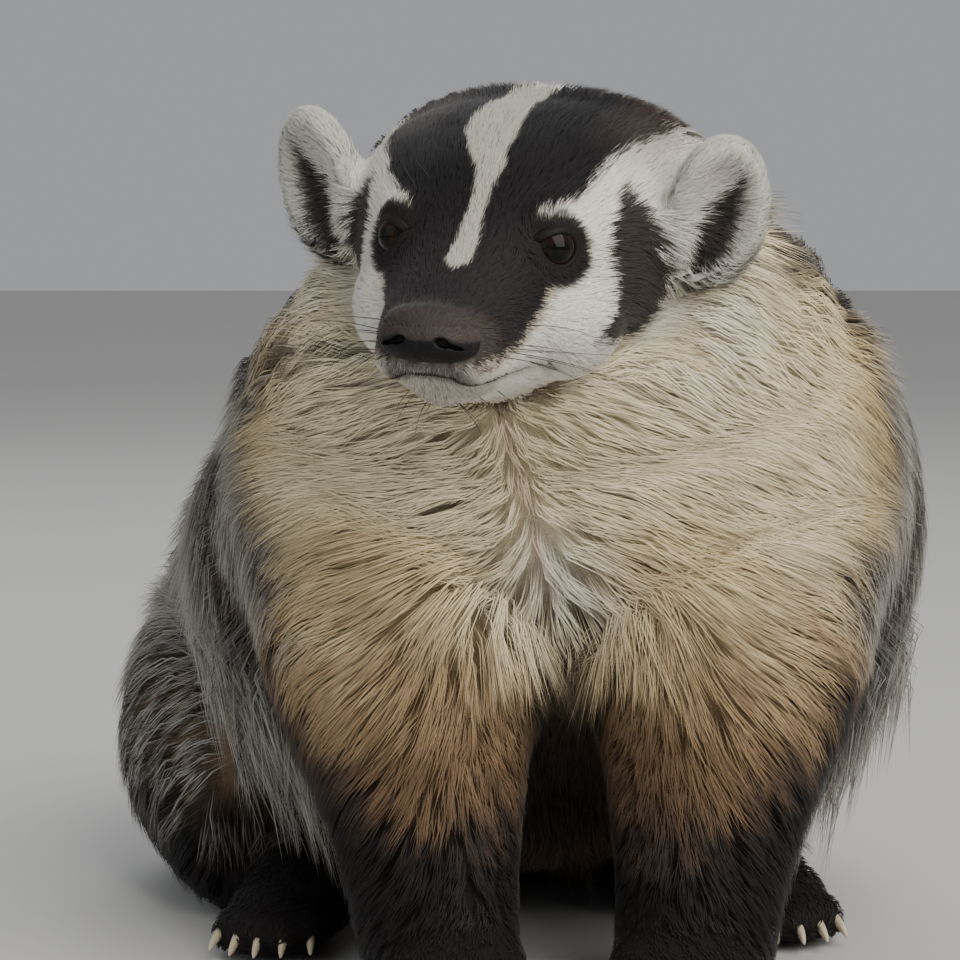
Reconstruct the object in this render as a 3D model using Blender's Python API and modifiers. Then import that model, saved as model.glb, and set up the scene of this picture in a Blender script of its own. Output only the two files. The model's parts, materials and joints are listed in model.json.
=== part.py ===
"""A life-size American badger, sitting upright on its haunches with its head turned a little to its right.

The animal faces -Y and +Z is up. The body is modelled whole from lofted masses, fused and smoothed, and
then parted by thin cuts into the pieces that a person would name. Each furred piece carries flat tapered
locks that lie along the coat out to its outline. The origin is on the floor, under the animal's middle.
"""

import math
import random

import bmesh
import bpy
import numpy as np
from mathutils import Euler, Matrix, Vector
from mathutils.bvhtree import BVHTree
from mathutils.kdtree import KDTree

# Driving dimensions, in metres unless the name says otherwise
GAP = 0.0003
WELD = 0.000005
TOUCH = 0.00001
TOUCH_ROOM = 0.00004
CORE_SHARE = 0.45
SEED = 29
BODY_VOXEL = 0.0036
BODY_TRIANGLES = 1500
BODY_SMOOTHING = 9
HEAD_SMOOTHING = 5
HEAD_VOXEL = 0.0019
HEAD_TRIANGLES = 1050
SECTION_SIDES = 28
BEND_DEG = 50

# The head's own frame: x to the animal's left, y backwards, z up, from the point midway between the eyes
EYE_LEVEL = Vector((-0.027, -0.080, 0.247))
HEAD_YAW_DEG = -17.8
HEAD_PITCH_DEG = 13.7
HEAD_ROLL_DEG = 4.0
EYE_RADIUS = 0.0072
EYE_INSIDE = 0.0135
NOSE_HALF = Vector((0.0142, 0.0110, 0.0088))
NOSE_PLACE = Vector((0.0, -0.0500, -0.0150))
NOSE_TILT_DEG = -12
EAR_PLACE = Vector((0.0655, 0.0400, 0.0040))
EAR_HALF = Vector((0.0165, 0.0105, 0.0265))
EAR_WALL = 0.0042
CUP_PLACE = (-0.0010, -0.0055, -0.0015)
CUP_SHORT = 0.0005
EAR_LEAN_DEG = 8.0
EAR_TURN_DEG = 24.0
EAR_TIP_BACK_DEG = 4.0
EYE_OUTLOOK = (0.62, -0.78, 0.06)
EYE_SHOWS = 0.0018
LID_SIDES = 20
LID_HALF_LENGTH = 0.0074
LID_HALF_HEIGHT = 0.0062
LID_DEPTH = 0.42
LID_THICK = 0.0020
NOSTRIL_PLACE = Vector((0.0052, -0.0101, -0.0012))
NOSTRIL_TURN_DEG = (0, 25, 20)
NOSTRIL_HALF = Vector((0.0030, 0.0042, 0.0021))
MOUTH_GROOVE = 0.0009
MOUTH_POINTS = 23
MOUTH_HALF_WIDTH = 0.0256
MOUTH_BACK = -0.0110
MOUTH_LENGTH = 0.0380
MOUTH_LEVEL = -0.0335
MOUTH_CORNER_RISE = 0.0020
CLAW_STEPS = 4
CLAW_SIDES = 6
CLAW_ROOT = 0.007
FORE_CLAW = 0.040
HIND_CLAW = 0.023
CLAW_RADIUS = 0.0031
CLAW_TIP_RADIUS = 0.0005
CLAW_BEND = 1.0
CLAW_START_BEND = 0.25
CLAW_TAPER = 0.6
CLAW_FLATNESS = 0.8
CLAW_SPREAD = 0.25
TOE_SPREAD = 0.86
TOE_REACH = 0.010
TOE_ARC = 0.008

# Locks: how far apart their roots are, their length and their width, on each node that carries them
LOCKS = {
    "neck": (0.028, 0.058, 0.021),
    "torso": (0.0275, 0.078, 0.0225),
    "rump": (0.032, 0.078, 0.024),
    "tail": (0.027, 0.062, 0.019),
    "foreleg": (0.024, 0.046, 0.018),
    "hindleg": (0.032, 0.066, 0.023),
}
LOCK_SINK = 0.0055
LOCK_THICK = 0.0030
LOCK_TRIES = 4000
LOCK_SHARES = (0.0, 0.36, 0.72, 1.0)
LOCK_WIDTHS = (0.72, 1.0, 0.66, 0.0)
LOCK_THICKS = (1.0, 1.0, 0.80, 0.0)
LOCK_RISES = (0.0, 0.38, 0.74, 1.0)
LOCK_CLEAR = 0.0012
FLOOR_CLEAR = 0.0012
FLOOR_VARIES = (1.0, 3.0)
LOCK_FINE = 12
LOCK_SPRAY_DEG = 9.0
ROOT_LOWEST = 0.012
PARTING_WIDTH = 0.030
FORELEG_LIE = (0.25, 0.30, -1.0)
THIGH_LIE = (0.0, 0.65, -0.70)
BODY_LIE = (1.3, 0.85, -0.42)
LOCK_TRIALS = (1.0, 0.78, 0.58, 0.42)
LOCK_VARIES = (0.85, 1.15)
RISE_VARIES = (0.80, 1.05)

COLOURS = {
    "head": (0.62, 0.58, 0.50),
    "nose": (0.012, 0.011, 0.012),
    "eye": (0.010, 0.006, 0.004),
    "ear": (0.66, 0.64, 0.58),
    "neck": (0.60, 0.54, 0.40),
    "torso": (0.56, 0.50, 0.36),
    "rump": (0.42, 0.38, 0.31),
    "foreleg": (0.33, 0.20, 0.09),
    "forepaw": (0.030, 0.022, 0.018),
    "hindleg": (0.38, 0.33, 0.26),
    "hindpaw": (0.030, 0.022, 0.018),
    "tail": (0.36, 0.27, 0.18),
}
ROUGHNESS = {"nose": 0.35, "eye": 0.08}
FUR_ROUGHNESS = 0.85

# Rows along each mass: x, y, z, half width, half depth, depth of the coat
TORSO_ROWS = (
    (-0.002, 0.002, 0.206, 0.084, 0.056, 0.021),
    (0.002, 0.028, 0.170, 0.100, 0.076, 0.025),
    (-0.001, 0.088, 0.138, 0.104, 0.086, 0.027),
    (-0.020, 0.162, 0.112, 0.098, 0.080, 0.026),
    (-0.036, 0.234, 0.086, 0.092, 0.070, 0.024),
    (-0.046, 0.290, 0.064, 0.058, 0.050, 0.022),
)
NECK_ROWS = (
    (-0.006, 0.002, 0.236, 0.066, 0.048, 0.016),
    (-0.002, 0.024, 0.208, 0.083, 0.060, 0.019),
)
NAPE = (0.0, 0.055, -0.006)
NAPE_SIZES = (0.050, 0.040, 0.010)
TAIL_ROWS = (
    (-0.047, 0.290, 0.060, 0.026, 0.022, 0.018),
    (-0.054, 0.326, 0.040, 0.017, 0.015, 0.020),
    (-0.066, 0.366, 0.026, 0.011, 0.009, 0.018),
    (-0.082, 0.404, 0.019, 0.007, 0.006, 0.013),
)
FORELEG_ROWS = (
    (0.056, 0.022, 0.160, 0.040, 0.044, 0.018),
    (0.050, -0.006, 0.112, 0.037, 0.040, 0.014),
    (0.0445, -0.016, 0.072, 0.0285, 0.030, 0.010),
    (0.0420, -0.024, 0.040, 0.0240, 0.025, 0.007),
    (0.0400, -0.032, 0.018, 0.0235, 0.024, 0.004),
)
FOREPAW_ROWS = (
    (0.0400, -0.020, 0.0150, 0.0200, 0.0150, 0.003),
    (0.0380, -0.042, 0.0145, 0.0240, 0.0150, 0.003),
    (0.0355, -0.062, 0.0105, 0.0220, 0.0110, 0.002),
)
FORELEG_SHIFT = 0.002
THIGH_ROWS = (
    (0.052, 0.250, 0.070, 0.036, 0.040, 0.020),
    (0.066, 0.205, 0.064, 0.046, 0.052, 0.020),
    (0.074, 0.150, 0.054, 0.040, 0.046, 0.018),
    (0.076, 0.110, 0.040, 0.026, 0.034, 0.012),
)
HINDPAW_ROWS = (
    (0.070, 0.150, 0.016, 0.0150, 0.0150, 0.005),
    (0.080, 0.110, 0.015, 0.0165, 0.0150, 0.004),
    (0.088, 0.078, 0.012, 0.0190, 0.0125, 0.002),
    (0.092, 0.058, 0.009, 0.0165, 0.0095, 0.002),
)
HIND_CENTRE = -0.032
HINDFOOT_SHIFT = {1: (-0.012, 0.0), -1: (-0.006, -0.022)}

# Planes and heights where the body is parted
HEAD_PLANE = ((0.0, 0.062, 0.0), (0.0, -0.86, 0.50))
JAW_LEVEL = -0.0470
ROOM = 0.16
FACING_PLANES = {
    "tail": ((-0.054, 0.333, 0.037), (-0.2, 0.8, -0.55)),
    "neck": ((0.0, 0.012, 0.205), (0.0, -0.45, 0.89)),
    "rump": ((-0.028, 0.200, 0.098), (-0.2, 0.9, -0.35)),
}
BETWEEN_FORELEGS = 0.0012
BELOW = -0.02
FOREPAW_TOP = 0.026
FOREPAW_BACK = 0.020
FOREPAW_SLOPE = (0.0, -0.1)
FORELEG_TOP = 0.088
FORELEG_BACK = 0.048
FORELEG_SLOPE = 0.35
HINDPAW_TOP = 0.034
HINDPAW_BACK = 0.086
HINDPAW_INSIDE = (-0.010, 0.060)
HINDLEG_TOP = 0.135
HINDLEG_SLOPE = (0.0, -0.10)
HINDLEG_FRONT = 0.052
HINDLEG_INSIDE = 0.054
HINDLEG_BACK = 0.34

# Rows along the head: y, half width, top, bottom
HEAD_ROWS = (
    (-0.0500, 0.0140, -0.0080, -0.0300),
    (-0.0400, 0.0190, -0.0040, -0.0370),
    (-0.0250, 0.0225, 0.0030, -0.0430),
    (-0.0120, 0.0280, 0.0095, -0.0460),
    (0.0000, 0.0360, 0.0170, -0.0475),
    (0.0150, 0.0455, 0.0265, -0.0480),
    (0.0350, 0.0540, 0.0350, -0.0480),
    (0.0550, 0.0580, 0.0385, -0.0460),
    (0.0750, 0.0560, 0.0365, -0.0430),
    (0.0920, 0.0480, 0.0300, -0.0380),
)
HEAD_SQUARENESS = 2.35

# Smaller masses of the head: middle and half sizes; those beside the middle line are made on both sides
CHIN = ((0, -0.0300, -0.0350), (0.0120, 0.0140, 0.0080))
LIP = ((0.0085, -0.0420, -0.0240), (0.0115, 0.0120, 0.0090))
BROW = ((0.0220, 0.0060, 0.0075), (0.0120, 0.0130, 0.0075))
BROW_TURN_DEG = (0, 20, 30)
CHEEK = ((0.0250, 0.0150, -0.0240), (0.0200, 0.0300, 0.0215))
TOE_HALF = (0.0055, 0.0110, 0.0075)


def clear_scene():
    """The scene starts empty."""
    for obj in list(bpy.data.objects):
        bpy.data.objects.remove(obj, do_unlink=True)


def head_matrix():
    """The place and turn of the head's own frame."""
    yaw = Matrix.Rotation(math.radians(HEAD_YAW_DEG), 4, "Z")
    pitch = Matrix.Rotation(math.radians(HEAD_PITCH_DEG), 4, "X")
    roll = Matrix.Rotation(math.radians(HEAD_ROLL_DEG), 4, "Y")
    return Matrix.Translation(EYE_LEVEL) @ yaw @ pitch @ roll


def new_object(name, mesh, collection):
    """A mesh object in a collection."""
    obj = bpy.data.objects.new(name, mesh)
    collection.objects.link(obj)
    return obj


def mesh_from_bmesh(name, shape):
    """A mesh that holds what a bmesh holds, with its faces pointing out."""
    bmesh.ops.recalc_face_normals(shape, faces=shape.faces)
    if shape.calc_volume(signed=True) < 0:
        bmesh.ops.reverse_faces(shape, faces=shape.faces)
    mesh = bpy.data.meshes.new(name)
    shape.to_mesh(mesh)
    shape.free()
    return mesh


def evaluated_mesh(obj):
    """The object's mesh with its modifiers applied."""
    graph = bpy.context.evaluated_depsgraph_get()
    return bpy.data.meshes.new_from_object(obj.evaluated_get(graph))


def apply_modifiers(obj):
    """Puts the modifiers' result in the object's own mesh."""
    mesh = evaluated_mesh(obj)
    obj.modifiers.clear()
    obj.data = mesh


def smooth_rows(rows, steps):
    """Rows of numbers along a smooth curve through the given rows."""
    rows = np.array(rows, dtype=float)
    ends = np.vstack([2 * rows[0] - rows[1], rows, 2 * rows[-1] - rows[-2]])
    result = []
    for index in range(len(rows) - 1):
        before, start, end, after = ends[index:index + 4]
        for step in range(steps):
            t = step / steps
            cubic = (3 * start - before - 3 * end + after) * t ** 3
            square = (2 * before - 5 * start + 4 * end - after) * t ** 2
            result.append(0.5 * (2 * start + (end - before) * t + square + cubic))
    result.append(rows[-1])
    return np.array(result)


def loft(shape, rings):
    """Skins a row of rings of points, the first and last closed by a fan."""
    made = [[shape.verts.new(point) for point in ring] for ring in rings]
    sides = len(made[0])
    for near, far in zip(made, made[1:]):
        for index in range(sides):
            after = (index + 1) % sides
            shape.faces.new((near[index], near[after], far[after], far[index]))
    for ring in (made[0], made[-1]):
        middle = shape.verts.new(sum((v.co for v in ring), Vector()) / sides)
        for index in range(sides):
            shape.faces.new((ring[index], ring[(index + 1) % sides], middle))


def oval(centre, side, deep, half_width, half_depth, sides=SECTION_SIDES, power=2.0):
    """Points round an oval section; a power over 2 squares it."""
    points = []
    for index in range(sides):
        angle = 2 * math.pi * index / sides
        across = math.copysign(abs(math.cos(angle)) ** (2 / power), math.cos(angle))
        down = math.copysign(abs(math.sin(angle)) ** (2 / power), math.sin(angle))
        points.append(centre + side * half_width * across + deep * half_depth * down)
    return points


def limb(name, rows, share, collection, steps=5, round_ends=4):
    """A mass that follows a smooth line, with oval sections and rounded ends."""
    rows = smooth_rows(rows, steps)
    places = [Vector(row[:3]) for row in rows]
    rings = []
    for index, row in enumerate(rows):
        ahead = places[min(index + 1, len(places) - 1)]
        behind = places[max(index - 1, 0)]
        along = (ahead - behind).normalized()
        side = (Vector((1, 0, 0)) - along * along.x).normalized()
        deep = along.cross(side)
        width = row[3] + share * row[5]
        depth = row[4] + share * row[5]
        caps = [0.0]
        if index == 0:
            caps = [-1 + step / round_ends for step in range(1, round_ends + 1)]
        elif index == len(rows) - 1:
            caps = [step / round_ends for step in range(round_ends)]
        for cap in caps:
            shrink = math.sqrt(1 - cap * cap)
            centre = places[index] + along * cap * min(width, depth)
            rings.append(oval(centre, side, deep, width * shrink, depth * shrink))
    shape = bmesh.new()
    loft(shape, rings)
    return new_object(name, mesh_from_bmesh(name, shape), collection)


def ball(name, centre, half, collection, frame=Matrix(), turn=(0, 0, 0), detail=3):
    """An ellipsoid in a frame, turned by angles in degrees."""
    shape = bmesh.new()
    bmesh.ops.create_icosphere(shape, subdivisions=detail, radius=1.0)
    spin = Euler([math.radians(angle) for angle in turn]).to_matrix().to_4x4()
    place = frame @ Matrix.Translation(centre) @ spin @ Matrix.Diagonal((*half, 1.0))
    shape.transform(place)
    return new_object(name, mesh_from_bmesh(name, shape), collection)


def block(name, low, high, collection, frame=Matrix()):
    """A box between two corners in a frame."""
    shape = bmesh.new()
    bmesh.ops.create_cube(shape, size=1.0)
    low, high = Vector(low), Vector(high)
    size = high - low
    shape.transform(frame @ Matrix.Translation((low + high) / 2) @ Matrix.Diagonal((*size, 1.0)))
    return new_object(name, mesh_from_bmesh(name, shape), collection)


def mirrored(rows, side, centre=0.0):
    """The rows of a left limb, moved to the given side of a centre line."""
    return [(centre + side * row[0], *row[1:]) for row in rows]


def joined(name, objects, collection):
    """One object holding copies of the meshes of several, which are removed."""
    shape = bmesh.new()
    for obj in objects:
        shape.from_mesh(obj.data)
    mesh = bpy.data.meshes.new(name)
    shape.to_mesh(mesh)
    shape.free()
    for obj in objects:
        bpy.data.objects.remove(obj, do_unlink=True)
    return new_object(name, mesh, collection)


def fuse(name, objects, collection, voxel, triangles, smoothing):
    """One smooth closed surface round overlapping masses."""
    obj = joined(name, objects, collection)
    remesh = obj.modifiers.new("fuse", "REMESH")
    remesh.mode = "VOXEL"
    remesh.voxel_size = voxel
    soften = obj.modifiers.new("soften", "SMOOTH")
    soften.factor = 0.5
    soften.iterations = smoothing
    apply_modifiers(obj)
    thin = obj.modifiers.new("thin", "DECIMATE")
    thin.use_collapse_triangulate = True
    thin.ratio = min(1.0, triangles / (2 * len(obj.data.polygons)))
    apply_modifiers(obj)
    keep_largest(obj)
    return obj


def enclosed(faces):
    """The volume that triangles enclose."""
    return sum(f.verts[0].co.dot(f.verts[1].co.cross(f.verts[2].co)) for f in faces) / 6


def connected(seed, left):
    """The faces reached from a seed over plain edges, taken out of those left."""
    piece, queue = [seed], [seed]
    while queue:
        for edge in queue.pop().edges:
            for other in edge.link_faces if len(edge.link_faces) == 2 else ():
                if other in left:
                    left.discard(other)
                    piece.append(other)
                    queue.append(other)
    return piece


def open_contacts(shape):
    """Where a surface touches itself at a point or along an edge, draws each side in a little."""
    shape.normal_update()
    tree = KDTree(len(shape.verts))
    for index, vertex in enumerate(shape.verts):
        tree.insert(vertex.co, index)
    tree.balance()
    touching = [v for v in shape.verts if len(tree.find_range(v.co, TOUCH)) > 1]
    moves = [(vertex, vertex.normal * TOUCH_ROOM) for vertex in touching]
    for vertex, move in moves:
        vertex.co -= move


def keep_largest(obj):
    """Keeps the closed surface that encloses most, in triangles, and drops the rest."""
    shape = bmesh.new()
    shape.from_mesh(obj.data)
    bmesh.ops.dissolve_degenerate(shape, edges=shape.edges, dist=WELD)
    bmesh.ops.triangulate(shape, faces=shape.faces)
    left = set(shape.faces)
    pieces = []
    while left:
        pieces.append(connected(left.pop(), left))
    kept = set(max(pieces, key=enclosed))
    bmesh.ops.delete(shape, geom=[f for f in shape.faces if f not in kept], context="FACES")
    bmesh.ops.delete(shape, geom=[v for v in shape.verts if not v.link_faces], context="VERTS")
    open_contacts(shape)
    shape.to_mesh(obj.data)
    shape.free()


def combine(obj, others, operation, solver="MANIFOLD"):
    """One Boolean on a collection of closed objects, which are removed after it."""
    if not others:
        return obj
    group = bpy.data.collections.new("operands")
    bpy.context.scene.collection.children.link(group)
    for other in others:
        group.objects.link(other)
    boolean = obj.modifiers.new("boolean", "BOOLEAN")
    boolean.operand_type = "COLLECTION"
    boolean.collection = group
    boolean.operation = operation
    boolean.solver = solver
    apply_modifiers(obj)
    for other in others:
        bpy.data.objects.remove(other, do_unlink=True)
    bpy.data.collections.remove(group)
    return obj


def copy_of(obj, name, collection):
    """A copy of an object with a mesh of its own."""
    return new_object(name, obj.data.copy(), collection)


def grown(obj, by, name, collection):
    """A copy whose surface is moved out along its normals."""
    copy = copy_of(obj, name, collection)
    normals = [vertex.normal.copy() for vertex in copy.data.vertices]
    for vertex, normal in zip(copy.data.vertices, normals):
        vertex.co += normal * by
    return copy


def on_side(place, side):
    """A place of the left side, moved to the given side."""
    return Vector((side * place[0], place[1], place[2]))


def head_masses(collection):
    """The skull's loft with the brows, cheeks, lip pads and chin."""
    frame = head_matrix()
    rings = []
    for y, half_width, top, bottom in smooth_rows(HEAD_ROWS, 4):
        centre = Vector((0, y, (top + bottom) / 2))
        ring = oval(centre, Vector((1, 0, 0)), Vector((0, 0, 1)), half_width, (top - bottom) / 2,
                    power=HEAD_SQUARENESS)
        rings.append([frame @ point for point in ring])
    shape = bmesh.new()
    loft(shape, rings)
    masses = [new_object("skull", mesh_from_bmesh("skull", shape), collection)]
    masses.append(ball("chin", *CHIN, collection, frame))
    for side in (-1, 1):
        turn = [side * angle for angle in BROW_TURN_DEG]
        masses.append(ball("lip", on_side(LIP[0], side), LIP[1], collection, frame))
        masses.append(ball("brow", on_side(BROW[0], side), BROW[1], collection, frame, turn))
        masses.append(ball("cheek", on_side(CHEEK[0], side), CHEEK[1], collection, frame))
    return masses


def surface_of(obj):
    """A search tree over an object's faces, in world space."""
    return BVHTree.FromPolygons([v.co for v in obj.data.vertices], [p.vertices for p in obj.data.polygons])


def eye_frame(head, side):
    """The place and outlook of an eye, just under the head's surface: its z axis looks out."""
    frame = head_matrix()
    inside = frame @ Vector((side * EYE_INSIDE, 0.012, 0.0))
    outlook = frame.to_3x3() @ Vector((side * EYE_OUTLOOK[0], EYE_OUTLOOK[1], EYE_OUTLOOK[2]))
    outlook.normalize()
    hit = surface_of(head).ray_cast(inside, outlook)[0]
    centre = hit - outlook * (EYE_RADIUS - EYE_SHOWS)
    turn = outlook.to_track_quat("Z", "Y").to_matrix().to_4x4()
    return Matrix.Translation(centre) @ turn


def lid_ring(name, frame, collection):
    """The rolled edge of the lids, an oval ring round the front of an eye."""
    shape = bmesh.new()
    rings = []
    for index in range(LID_SIDES):
        angle = 2 * math.pi * index / LID_SIDES
        out = Vector((math.cos(angle), math.sin(angle), 0))
        middle = Vector((LID_HALF_LENGTH * out.x, LID_HALF_HEIGHT * out.y, EYE_RADIUS * LID_DEPTH))
        rings.append([frame @ (middle + out * LID_THICK * math.cos(turn)
                               + Vector((0, 0, LID_THICK * math.sin(turn))))
                      for turn in (2 * math.pi * k / 8 for k in range(8))])
    made = [[shape.verts.new(point) for point in ring] for ring in rings]
    for near, far in zip(made, made[1:] + made[:1]):
        for index in range(8):
            after = (index + 1) % 8
            shape.faces.new((near[index], near[after], far[after], far[index]))
    return new_object(name, mesh_from_bmesh(name, shape), collection)


def mouth_groove(head, collection):
    """A thin tube along the closed line of the mouth, laid on the head's surface."""
    frame = head_matrix()
    surface = surface_of(head)
    curve = bpy.data.curves.new("mouth_line", "CURVE")
    curve.dimensions = "3D"
    curve.bevel_depth = MOUTH_GROOVE
    curve.bevel_resolution = 1
    curve.use_fill_caps = True
    spline = curve.splines.new("POLY")
    spline.points.add(MOUTH_POINTS - 1)
    for index, point in enumerate(spline.points):
        angle = math.pi * (index / (MOUTH_POINTS - 1) - 0.5)
        rise = MOUTH_CORNER_RISE * abs(math.sin(angle)) ** 4
        guess = Vector((MOUTH_HALF_WIDTH * math.sin(angle), MOUTH_BACK - MOUTH_LENGTH * math.cos(angle),
                        MOUTH_LEVEL + rise))
        place = surface.find_nearest(frame @ guess)[0]
        point.co = (*place, 1)
    obj = bpy.data.objects.new("mouth_line", curve)
    collection.objects.link(obj)
    mesh = evaluated_mesh(obj)
    shape = bmesh.new()
    shape.from_mesh(mesh)
    bmesh.ops.remove_doubles(shape, verts=shape.verts, dist=1e-6)
    shape.transform(obj.matrix_world)
    bpy.data.objects.remove(obj, do_unlink=True)
    return new_object("mouth_line", mesh_from_bmesh("mouth_line", shape), collection)


def make_nose(collection):
    """The bare leather pad with its two nostrils."""
    frame = head_matrix()
    nose = ball("nose", NOSE_PLACE, NOSE_HALF, collection, frame, (NOSE_TILT_DEG, 0, 0))
    cutters = []
    for side in (-1, 1):
        place = NOSE_PLACE + on_side(NOSTRIL_PLACE, side)
        turn = [side * angle for angle in NOSTRIL_TURN_DEG]
        cutters.append(ball("nostril", place, NOSTRIL_HALF, collection, frame, turn, 2))
    return combine(nose, cutters, "DIFFERENCE")


def make_ear(name, side, collection):
    """A rounded ear flap with its cup, standing off the side of the head."""
    place = on_side(EAR_PLACE, side)
    turns = (EAR_TIP_BACK_DEG, side * EAR_LEAN_DEG, side * EAR_TURN_DEG)
    lean = Euler([math.radians(angle) for angle in turns])
    frame = head_matrix() @ Matrix.Translation(place) @ lean.to_matrix().to_4x4()
    ear = ball(name, (0, 0, 0), EAR_HALF, collection, frame)
    hollow = EAR_HALF - Vector((EAR_WALL, CUP_SHORT, EAR_WALL))
    cup = ball("cup", on_side(CUP_PLACE, side), hollow, collection, frame, detail=2)
    return combine(ear, [cup], "DIFFERENCE")


def claw(start, heading, length, collection):
    """A curved claw: round sections that shrink along an arc bending to the floor."""
    heading = heading.normalized()
    side = heading.cross(Vector((0, 0, 1))).normalized()
    rings = []
    place = start.copy()
    for step in range(CLAW_STEPS + 1):
        share = step / CLAW_STEPS
        angle = CLAW_BEND * (share - CLAW_START_BEND)
        along = (heading * math.cos(angle) - Vector((0, 0, 1)) * math.sin(angle)).normalized()
        up = side.cross(along)
        radius = CLAW_RADIUS * (1 - share) ** CLAW_TAPER + CLAW_TIP_RADIUS
        centre = Vector((place.x, place.y, max(place.z, radius + FLOOR_CLEAR)))
        rings.append(oval(centre, side, up, radius * CLAW_FLATNESS, radius, CLAW_SIDES))
        place += along * length / CLAW_STEPS
    shape = bmesh.new()
    loft(shape, rings)
    return new_object("claw", mesh_from_bmesh("claw", shape), collection)


def toes(rows, count=5):
    """Where a paw's toes sit: each one's middle, and its heading."""
    tip = Vector(rows[-1][:3])
    back = Vector(rows[-2][:3])
    ahead = Vector((tip.x - back.x, tip.y - back.y, 0)).normalized()
    across = Vector((-ahead.y, ahead.x, 0))
    width = rows[-1][3]
    result = []
    for index in range(count):
        place = 2 * index / (count - 1) - 1
        middle = tip + across * place * width * TOE_SPREAD + ahead * (TOE_REACH - TOE_ARC * place * place)
        middle.z = tip.z
        result.append((middle, (ahead + across * place * CLAW_SPREAD).normalized()))
    return result


def neck_rows():
    """The rows of the neck, from inside the back of the skull to the shoulders."""
    return ((*(head_matrix() @ Vector(NAPE)), *NAPE_SIZES), *NECK_ROWS)


def forepaw_rows(side):
    """The rows of a forepaw."""
    return mirrored(FOREPAW_ROWS, side, FORELEG_SHIFT)


def hindpaw_rows(side):
    """The rows of a hind foot."""
    aside, ahead = HINDFOOT_SHIFT[side]
    return [(row[0] + aside, row[1] + ahead, *row[2:]) for row in mirrored(HINDPAW_ROWS, side)]


def body_masses(share, collection):
    """The masses of everything behind the head, with the coat's given share."""
    masses = [
        limb("torso_mass", TORSO_ROWS, share, collection),
        limb("neck_mass", neck_rows(), share, collection),
        limb("tail_mass", TAIL_ROWS, share, collection),
    ]
    for side in (-1, 1):
        masses.append(limb("foreleg_mass", mirrored(FORELEG_ROWS, side, FORELEG_SHIFT), share, collection))
        masses.append(limb("forepaw_mass", forepaw_rows(side), share, collection))
        masses.append(limb("thigh_mass", mirrored(THIGH_ROWS, side, HIND_CENTRE), share, collection))
        masses.append(limb("hindpaw_mass", hindpaw_rows(side), share, collection))
        for rows in (forepaw_rows(side), hindpaw_rows(side)):
            for middle, _ in toes(rows):
                masses.append(ball("toe", middle, TOE_HALF, collection, detail=2))
    return masses


def sloped_block(name, low, high, slope, collection):
    """A box whose top rises by a slope along x and y."""
    obj = block(name, low, high, collection)
    top = high[2]
    for vertex in obj.data.vertices:
        if vertex.co.z > top - 1e-6:
            vertex.co.z += slope[0] * vertex.co.x + slope[1] * vertex.co.y
    return obj


def facing_block(name, plane, collection):
    """A large box that starts at a plane, a point with a heading, and runs on the side that it faces."""
    point, toward = plane
    toward = Vector(toward).normalized()
    across = (Vector((1, 0, 0)) - toward * toward.x).normalized()
    turn = Matrix((across, toward.cross(across), toward)).transposed().to_4x4()
    frame = Matrix.Translation(point) @ turn
    return block(name, (-2 * ROOM, -2 * ROOM, 0), (2 * ROOM, 2 * ROOM, 2 * ROOM), collection, frame)


def cell(name, grow, collection):
    """The convex room that a node of the body takes, moved out by grow on every side."""
    side = -1 if name.endswith("right") else 1
    if name == "head":
        frame = head_matrix()
        point = frame @ Vector(HEAD_PLANE[0])
        toward = frame.to_3x3() @ Vector(HEAD_PLANE[1])
        obj = block(name, (-ROOM, -ROOM, JAW_LEVEL), (ROOM, ROOM, ROOM), collection, frame)
        combine(obj, [facing_block("front", (point, toward), collection)], "INTERSECT")
    elif name in FACING_PLANES:
        obj = facing_block(name, FACING_PLANES[name], collection)
    elif name.startswith("forepaw"):
        near, far = sorted((side * BETWEEN_FORELEGS + FORELEG_SHIFT, side * ROOM))
        low, high = (near, -ROOM, BELOW), (far, FOREPAW_BACK, FOREPAW_TOP)
        obj = sloped_block(name, low, high, FOREPAW_SLOPE, collection)
    elif name.startswith("foreleg"):
        near, far = sorted((side * BETWEEN_FORELEGS + FORELEG_SHIFT, side * ROOM))
        low, high = (near, -ROOM, BELOW), (far, FORELEG_BACK, FORELEG_TOP)
        obj = sloped_block(name, low, high, (side * FORELEG_SLOPE, 0), collection)
    elif name.startswith("hindpaw"):
        near, far = sorted((side * HINDPAW_INSIDE[1] + HINDPAW_INSIDE[0], side * 2 * ROOM))
        obj = block(name, (near, 0, BELOW), (far, HINDPAW_BACK, HINDPAW_TOP), collection)
    elif name.startswith("hindleg"):
        near, far = sorted((HIND_CENTRE + side * HINDLEG_INSIDE, HIND_CENTRE + side * 2 * ROOM))
        low, high = (near, HINDLEG_FRONT, BELOW), (far, HINDLEG_BACK, HINDLEG_TOP)
        obj = sloped_block(name, low, high, HINDLEG_SLOPE, collection)
    if grow:
        swell(obj, grow)
    return obj


def swell(obj, by):
    """Moves each face of a convex solid out by the same distance."""
    shape = bmesh.new()
    shape.from_mesh(obj.data)
    shape.normal_update()
    moved = {}
    for vertex in shape.verts:
        rows = np.array([face.normal[:] for face in vertex.link_faces])
        step = np.linalg.lstsq(rows, np.full(len(rows), by), rcond=None)[0]
        moved[vertex] = Vector(step)
    for vertex, step in moved.items():
        vertex.co += step
    shape.to_mesh(obj.data)
    shape.free()


CELL_ORDER = (
    "tail", "head", "neck", "hindpaw_left", "hindpaw_right", "forepaw_left", "forepaw_right",
    "foreleg_left", "foreleg_right", "hindleg_left", "hindleg_right", "rump", "torso",
)


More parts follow.
